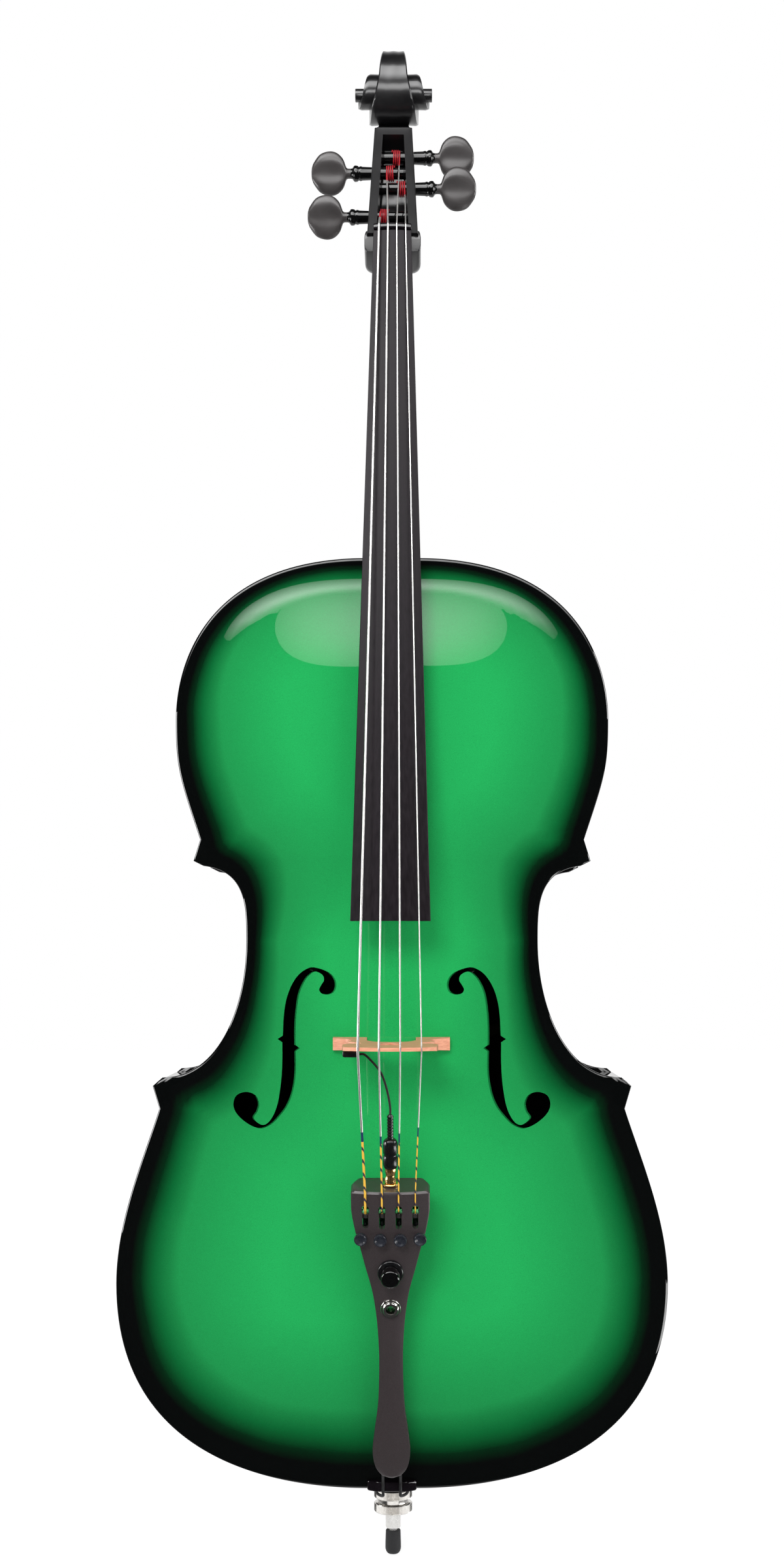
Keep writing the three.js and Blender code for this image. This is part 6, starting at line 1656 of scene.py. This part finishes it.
# %% [markdown]
# ## Volume control, jacks and lead
#
# The volume knob is a glossy domed cap over a low bushing, on a control whose can hides in the shell.
# Under it is the output jack, a nut round an open barrel. The pickup's lead plugs into the tailpiece's
# end: a flange, a gilt barrel with a waist, a black handle and a ribbed relief that keeps it from
# kinking. All of them are turned on a lathe, so here each is one profile turned about its axis.

# %% Turned fittings of the tailpiece


def front_axis(reach):
    """A frame that stands square on the tailpiece's front: its Z axis points out, from the crown."""
    place = Matrix.Translation(Vector((0, -tail_crown, -reach)) * MM)
    return tail_frame @ place @ Matrix.Rotation(math.pi / 2, 4, "X")


def ring_mesh(name, profile, matrix, sides=64, crease=38, ripple=0.0, rippled=()):
    """A turned piece with a hole: a closed loop of [radius, height] pairs, whose last ring meets the
    first. Chosen rings can carry a ripple, as a knurled edge does: every second point is drawn in."""
    profile = np.asarray(profile, dtype=float)
    points = turned(profile * MM, sides).reshape(len(profile), sides, 3)
    wave = 1 - ripple / profile[:, 0].max() * (np.arange(sides) % 2)
    for row in rippled:
        points[row, :, :2] *= wave[:, None]
    faces = grid_faces(len(profile), sides, around=True)
    last = (len(profile) - 1) * sides
    k = np.arange(sides)
    after = (k + 1) % sides
    faces += np.stack([last + k, last + after, after, k], axis=1).tolist()
    return build_mesh(name, apply(matrix, points.reshape(-1, 3)), faces, crease)


bushing_profile = [[3.4, 0.3], [9.7, 0.3], [10, 0.6], [10, 2.6], [9.8, 3.3], [9.3, 3.8], [8.8, 4]]
bushing = ring_mesh("knob_base", bushing_profile + [[3.6, 4], [3.4, 3.8]], front_axis(knob_reach), 96)
place_piece(bushing, black_plastic, ["knob_bushing"])

knob_floor = -tail_wall - tail_crown - 4.5
dome = np.linspace(0, 1, 12) * np.pi / 2
knob_profile = [[0.2, knob_floor], [2.8, knob_floor], [3, knob_floor + 0.2], [3, 4.4], [6.9, 4.4]]
knob_profile += [[7.3, 4.8], [7.3, 13.6], [7.24, 14.2]]
knob_profile += [[7.15 * math.cos(turn) + 0.02, 14.6 + 2.8 * math.sin(turn)] for turn in dome]
knob = turned_mesh("volume_cap", knob_profile, front_axis(knob_reach), 96)
place_piece(knob, black_lacquer, ["volume_knob"], "knob")

can_top = -tail_wall - tail_crown - clearance
can_profile = [[3.4, can_top - 4.9], [3.4, 0], [5, 0], [5, can_top], [7.7, can_top], [8, can_top - 0.3]]
can_profile += [[8, can_top - 8.6], [7.6, can_top - 9], [0.3, can_top - 9], [0.3, can_top - 4.9]]
can = turned_mesh("control_can", can_profile[::-1], front_axis(knob_reach))
place_piece(can, nickel, ["potentiometer"])

jack_low = -tail_crown - 0.45 * tail_depth
jack_profile = [[3.4, jack_low], [5.2, jack_low], [5.2, 0.3], [7.6, 0.3], [7.9, 0.6], [7.9, 1.3], [7.6, 1.7]]
jack_profile += [[6.3, 1.85], [6.2, 2.1], [6.1, 2.2], [5.9, 3.6], [5.6, 3.9], [4.2, 3.95], [3.6, 3.8]]
jack = ring_mesh("output_jack_nut", jack_profile + [[3.4, 3.4]], front_axis(output_reach), 96)
place_piece(jack, nickel, ["output_jack"])

socket_profile = [[0.2, -12], [4.4, -12], [4.5, -11.8], [4.5, 0.3], [6.2, 0.3], [6.5, 0.6], [6.5, 1.7]]
socket_profile += [[6.2, 2], [2.2, 2], [2.05, 1.8], [2.05, -9.3], [0.2, -9.3]]
socket = along_tail("input_jack", socket_profile, 0, input_depth, 64)
place_piece(socket, gold, ["input_socket"])

plug_base = 2.3
barrel_profile = [[0.1, -9], [0.9, -8.9], [1.6, -7.9], [1.75, -7.4], [1.75, plug_base], [4.2, plug_base]]
barrel_profile += [[4.5, plug_base + 0.3], [4.5, 5.4], [4.2, 6.1], [3.7, 7.2], [3.6, 8.2], [3.8, 9.4]]
barrel_profile += [[4.2, 10.8], [4.45, 12], [4.5, 13], [4.5, 14.1], [4.3, 14.3], [0.1, 14.3]]
barrel = along_tail("gilt_barrel", barrel_profile, 0, input_depth, 64)
place_piece(barrel, gold, ["plug_barrel"])

handle_base, handle_top = 14.6, 37.6
handle_profile = [[0.1, handle_base], [4.9, handle_base], [5.2, 15.2], [5.6, 16.4], [5.8, 17.6], [5.8, 23.4]]
handle_profile += [[5.35, 24.2], [5.25, 25], [5.35, 25.8], [5.8, 26.5], [5.8, 33.6], [5.5, 35.4]]
handle_profile += [[4.8, 36.8], [4.0, handle_top], [2.4, handle_top + 0.2]]
for k in range(8):
    start = handle_top + 0.6 + 2.4 * k
    handle_profile += [[2.1, start - 0.1], [2.5, start + 0.2], [2.5, start + 1.3], [2.1, start + 1.6]]
handle_profile += [[1.9, 57.2], [1.5, 57.6], [0.1, 57.6]]
handle = along_tail("plug_grip", handle_profile, 0, input_depth, 64)
place_piece(handle, black_plastic, ["plug_handle"])
print("turned fittings placed")

# %% Pickup and its lead
pickup_lift = bridge_crown * 0.83
pickup_front = front_edge - pickup_lift
pickup_x = -crown_span * 0.42
pickup_half, pickup_tall, lead_radius = 6.2, 3.5, 0.9
pickup_top = bridge_place - float(bridge_thickness(pickup_lift - pickup_tall)) / 2 - clearance


def pickup_mesh():
    """A small moulded block: a rounded rectangle, drawn in at both ends."""
    z = pickup_top - np.array([0, 0.25, 0.8, 3.2, 4.0, 4.4, 4.6])
    draw = np.array([0.5, 0.15, 0, 0, 0.2, 0.6, 1.1])
    half, tall = pickup_half - draw, pickup_tall - draw
    corners = [(-half, -tall), (half, -tall), (half, tall), (-half, tall)]
    rings = np.stack([stack(pickup_x + x, pickup_front + y, z) for x, y in corners], axis=1)
    return loft_mesh("bridge_pickup", eased(rings, 1.2, steps=6) * MM)


def lead_path(count=90):
    """The lead's route, on the same points as the measured model, as a smooth curve."""
    low = pickup_top - 2.3
    route = [
        (pickup_x + pickup_half + clearance, pickup_front, low),
        (pickup_x + pickup_half + 3.6, pickup_front, low),
        (-14, -158, 424),
        (-7, -155.5, 415),
        (-2.5, -153, 402),
        in_tail(0, input_depth, -57.9 - 5.4),
        in_tail(0, input_depth, -57.9),
    ]
    return centripetal(np.array(route), count)


def centripetal(points, count):
    """A Catmull-Rom curve whose parameter grows with the square root of each step, so that it doesn't
    loop where a long step follows a short one. Each point is blended from lines through its four
    neighbours, two at a time."""
    points = np.vstack([2 * points[0] - points[1], points, 2 * points[-1] - points[-2]])
    knots = np.concatenate([[0], np.cumsum(np.linalg.norm(np.diff(points, axis=0), axis=1) ** 0.5)])
    at = np.linspace(knots[1], knots[-2], count)
    k = np.clip(np.searchsorted(knots, at, side="right") - 1, 1, len(points) - 3)
    t = [knots[k + shift] for shift in (-1, 0, 1, 2)]
    p = [points[k + shift] for shift in (-1, 0, 1, 2)]

    def mix(a, b, ta, tb):
        share = ((at - ta) / (tb - ta))[:, None]
        return a * (1 - share) + b * share

    first = [mix(p[j], p[j + 1], t[j], t[j + 1]) for j in range(3)]
    second = [mix(first[j], first[j + 1], t[j], t[j + 2]) for j in range(2)]
    return mix(second[0], second[1], t[1], t[2])


place_piece(pickup_mesh(), black_plastic, ["pickup"])
lead_points = lead_path() * MM
lead = tube_mesh("thin_lead", lead_points, lead_radius * MM, 14, (0, 0, 1))
lead = place_piece(lead, black_cord, ["pickup_lead"])
tuple(lead_points[0])

# %% [markdown]
# ## Tail gut, saddle and endpin
#
# A single cord runs from one hole in the tailpiece's foot, over an ebony saddle let into the rim, round
# the endpin's plug and back. The plug is turned ebony. Two knurled nickel rings hold the steel rod,
# which slides out of the body and stands on a rubber tip.

# %% Tail gut and saddle
saddle_width, saddle_depth, saddle_rise, edge_round = 40.0, 8.0, 9.0, 1.2
plug_radius, plug_head = 13.0, 16.0


def gut_path():
    """Half of the cord's way: out of the foot, over the saddle, then a quarter of a circle round the
    plug. The other half mirrors it."""
    around = plug_radius + gut_radius + clearance
    half = gut_spacing / 2
    top = front_edge - saddle_rise - gut_radius - clearance
    level = body_bottom - gut_radius - clearance - edge_round
    side = [
        in_tail(half, gut_depth, tail_length - gut_seat + clearance),
        in_tail(half, gut_depth, tail_length),
        (half, top, body_bottom + saddle_depth),
        (half, top, body_bottom),
        (half, top + gut_radius, level),
        (around * 0.8, front_edge, level - gut_radius),
        (around, -around, level - gut_radius),
    ]
    side = np.array(side)
    turn = np.linspace(0, np.pi / 2, 9)
    back = stack(around * np.cos(turn), around * np.sin(turn), level - gut_radius)
    right = np.vstack([side, back])
    whole = np.vstack([right, right[:-1][::-1] * (-1, 1, 1)])
    return centripetal(whole, 320)


gut_line = gut_path()
gut = tube_mesh("tail_cord", gut_line * MM, gut_radius * MM, 14, (0.05, 0.05, 1))
print("tail gut:", round(float(np.linalg.norm(np.diff(gut_line, axis=0), axis=1).sum())), "mm")


def saddle_mesh():
    """A slip across the rim: a low trapezium with rounded corners, its long edges eased."""
    near, far = front_edge - saddle_rise, -half_rib - clearance
    half, low = saddle_width / 2, saddle_rise * 0.55
    left = [[-half, far], [-half, near + low], [-half * 0.55, near]]
    shape = left + [[-x, y] for x, y in left[::-1]]
    shape = eased(shape, [0.6, 1.5, 3, 3, 1.5, 0.6], steps=7)
    z = body_bottom + np.array([0, 0.3, 1.0, 6.7, 7.4, 7.7])
    inset = np.array([0.8, 0.3, 0, 0, 0.3, 0.8])
    rings = []
    for height, draw in zip(z, inset):
        ring = shape * (1 - draw / half, 1)
        ring[:, 1] = np.maximum(ring[:, 1], near + draw)
        rings.append(stack(ring[:, 0], ring[:, 1], height))
    return loft_mesh("cord_saddle", np.array(rings) * MM)


place_piece(gut, black_cord, ["tail_gut"])
place_piece(saddle_mesh(), polished_ebony, ["saddle"])

# %% Endpin
rod_radius, rod_bore, rod_length, rod_show, rod_stub = 6.3, 6.7, 430.0, 15.4, 8.9
ring_height, ring_neck = 8.2, 3.2
collar_top = body_bottom - plug_head - clearance
lock_top = collar_top - ring_height - clearance
lock_low = lock_top - ring_height - ring_neck
rod_low = lock_low - rod_show
upright = Matrix.Identity(4)

plug_low = body_bottom - plug_head
rib_face = body_bottom + overhang
plug_profile = [[rod_bore, plug_low], [15.6, plug_low], [16.3, plug_low + 0.6], [16.8, plug_low + 2.2]]
plug_profile += [[17, plug_low + 4.4], [16.9, plug_low + 5.8], [16.3, plug_low + 6.8], [15, plug_low + 7.2]]
plug_profile += [[13.6, plug_low + 7.6], [13.05, plug_low + 8.4], [13, rib_face], [13.2, rib_face]]
plug_profile += [[11.6, rib_face + 43.4], [11, rib_face + 44], [rod_bore, rib_face + 44]]
plug = ring_mesh("turned_plug", plug_profile, upright, 96)
place_piece(plug, ebony, ["endpin_plug"])


def knurled(name, low, top, groove):
    """A knurled ring: its grip is rippled by every second point, between two plain bevels. Above the
    grip it can have a slimmer neck."""
    start = top - groove
    profile = [[rod_bore, low], [14.6, low], [15.5, low + 0.5], [15.7, low + 0.9], [15.95, low + 1.0]]
    profile += [[15.95, start - 1.0], [15.7, start - 0.9], [15.5, start - 0.5], [14.6, start]]
    if groove:
        profile += [[12.9, start + 0.2], [12.76, start + 0.8], [12.76, top]]
    profile.append([rod_bore, top])
    return ring_mesh(name, profile, upright, 180, crease=20, ripple=0.55, rippled=(4, 5))


collar_ring = knurled("upper_ring", lock_top + clearance, collar_top, 0)
place_piece(collar_ring, nickel, ["endpin_collar"])
clamp_ring = knurled("clamp_ring", lock_low, lock_top, ring_neck)
place_piece(clamp_ring, nickel, ["endpin_lock_ring"], "lock_ring")

rod_top = rod_low + rod_length
rod_profile = [[0.1, rod_low - rod_stub], [4, rod_low - rod_stub], [4, rod_low + 0.6], [4.8, rod_low + 0.8]]
rod_profile += [[5.7, rod_low + 1.4], [5.9, rod_low + 1.8], [6.2, rod_low + 2.2]]
rod_profile += [[rod_radius, rod_low + 2.8], [rod_radius, rod_top - 2.2], [6.1, rod_top - 1.6]]
rod_profile += [[4.2, rod_top - 0.2], [3.8, rod_top], [0.1, rod_top]]
rod = turned_mesh("steel_rod", rod_profile, upright, 64)
place_piece(rod, steel, ["endpin_rod"], "endpin")

tip_floor = rod_low - 8.91 - clearance
tip_profile = [[0.1, 0], [3.6, 0], [4.36, 0.1], [5.2, 0.8], [5.94, 1.98], [6.4, 3.4], [6.6, 4.8], [6.55, 9]]
tip_profile += [[6.3, 16.5], [6.2, 19.2], [5.9, 19.7], [5.5, 19.8], [4.3, 19.8], [4.3, tip_floor]]
tip_profile.append([0.1, tip_floor])
tip = turned_mesh("rubber_foot", tip_profile, upright, 64)
place_piece(tip, rubber, ["endpin_tip"], "endpin")
print("endpin placed, rod", round(rod_low, 1), "to", round(rod_top, 1), "mm")

# %% [markdown]
# ## Inside the body
#
# The blocks, the bass bar and the sound post are plain spruce, glued or wedged inside, and hardly seen.
# The measured pieces have the right form already, so that they only get the wood. A corner block's tip
# shows between the ribs, and is lacquered with them.

# %% Spruce for the hidden pieces
hidden = ["end_block", "neck_block", "bass_bar", "sound_post"]
hidden += [f"{level}_corner_block_{word}" for level in ("lower", "upper") for word in ("left", "right")]
for name in hidden:
    node = frame["nodes"][name]
    node = bpy.data.objects[node] if isinstance(node, str) else node
    node.data.materials.clear()
    node.data.materials.append(black_lacquer if "corner" in name else bare_spruce)
print("spruce:", len(hidden), "pieces")

# %% [markdown]
# ## Floor
#
# The floor is a plain pale sheet under the rubber tip, shaded where the cello's shadow falls. For the
# camera it glows faintly as well, so that it runs into the white ground without a line between them.
# The nickel rings mirror a white patch round the tip, and the lacquer mirrors a dark floor in front.

# %% The floor
floor_half, floor_drop = 8.0, 0.0004
# In a mirror the floor turns white between two places behind the cello, and dark again between two
# distances from the tip, all in metres.
white_behind, white_round_tip = (-0.1, 0.4), (0.09, 0.15)
floor_data = bpy.data.meshes.new("floor")
corners = [(-1, -1), (1, -1), (1, 1), (-1, 1)]
points = [(x * floor_half, y * floor_half, -floor_drop) for x, y in corners]
floor_data.from_pydata(points, [], [(0, 1, 2, 3)])
floor = add_object("floor", floor_data)
white_floor = new_finish("white_floor", (0.85, 0.85, 0.85), 0.9, specular=0.0)


def whiten(material, share, strength, dark_level):
    """Where the camera sees the floor, a share of what it sees is a plain white glow, and the rest is
    the lit floor with its shadow. What mirrors the floor sees it white behind the cello and round the
    tip, and dark in front, as if a black cloth lay there to keep the belly's lacquer clear."""
    tree = material.node_tree
    link = tree.links.new
    rays = add_node(tree, "ShaderNodeLightPath").outputs
    where = add_node(tree, "ShaderNodeTexCoord").outputs["Object"]
    split = add_node(tree, "ShaderNodeSeparateXYZ")
    away = add_node(tree, "ShaderNodeVectorMath", operation="LENGTH")
    link(where, split.inputs[0])
    link(where, away.inputs[0])
    behind = spread(tree, split.outputs["Y"], dark_level, 1.0, *white_behind)
    around = spread(tree, away.outputs["Value"], 1.0, dark_level, *white_round_tip)
    level = add_node(tree, "ShaderNodeMix", {"A": strength}, data_type="FLOAT")
    link(rays["Is Glossy Ray"], level.inputs["Factor"])
    link(calculate(tree, "MAXIMUM", behind, around), level.inputs["B"])
    glow = add_node(tree, "ShaderNodeEmission", {"Color": (1, 1, 1, 1)})
    link(level.outputs["Result"], glow.inputs["Strength"])
    seen = calculate(tree, "MAXIMUM", rays["Is Camera Ray"], rays["Is Transmission Ray"])
    part = calculate(tree, "MULTIPLY", seen, share)
    mix = add_node(tree, "ShaderNodeMixShader")
    link(calculate(tree, "MAXIMUM", part, rays["Is Glossy Ray"]), mix.inputs["Fac"])
    link(tree.nodes["Principled BSDF"].outputs[0], mix.inputs[1])
    link(glow.outputs[0], mix.inputs[2])
    link(mix.outputs[0], tree.nodes["Material Output"].inputs["Surface"])


whiten(white_floor, share=0.66, strength=1.3, dark_level=0.04)
floor_data.materials.append(white_floor)
print("floor", 2 * floor_half, "m square")
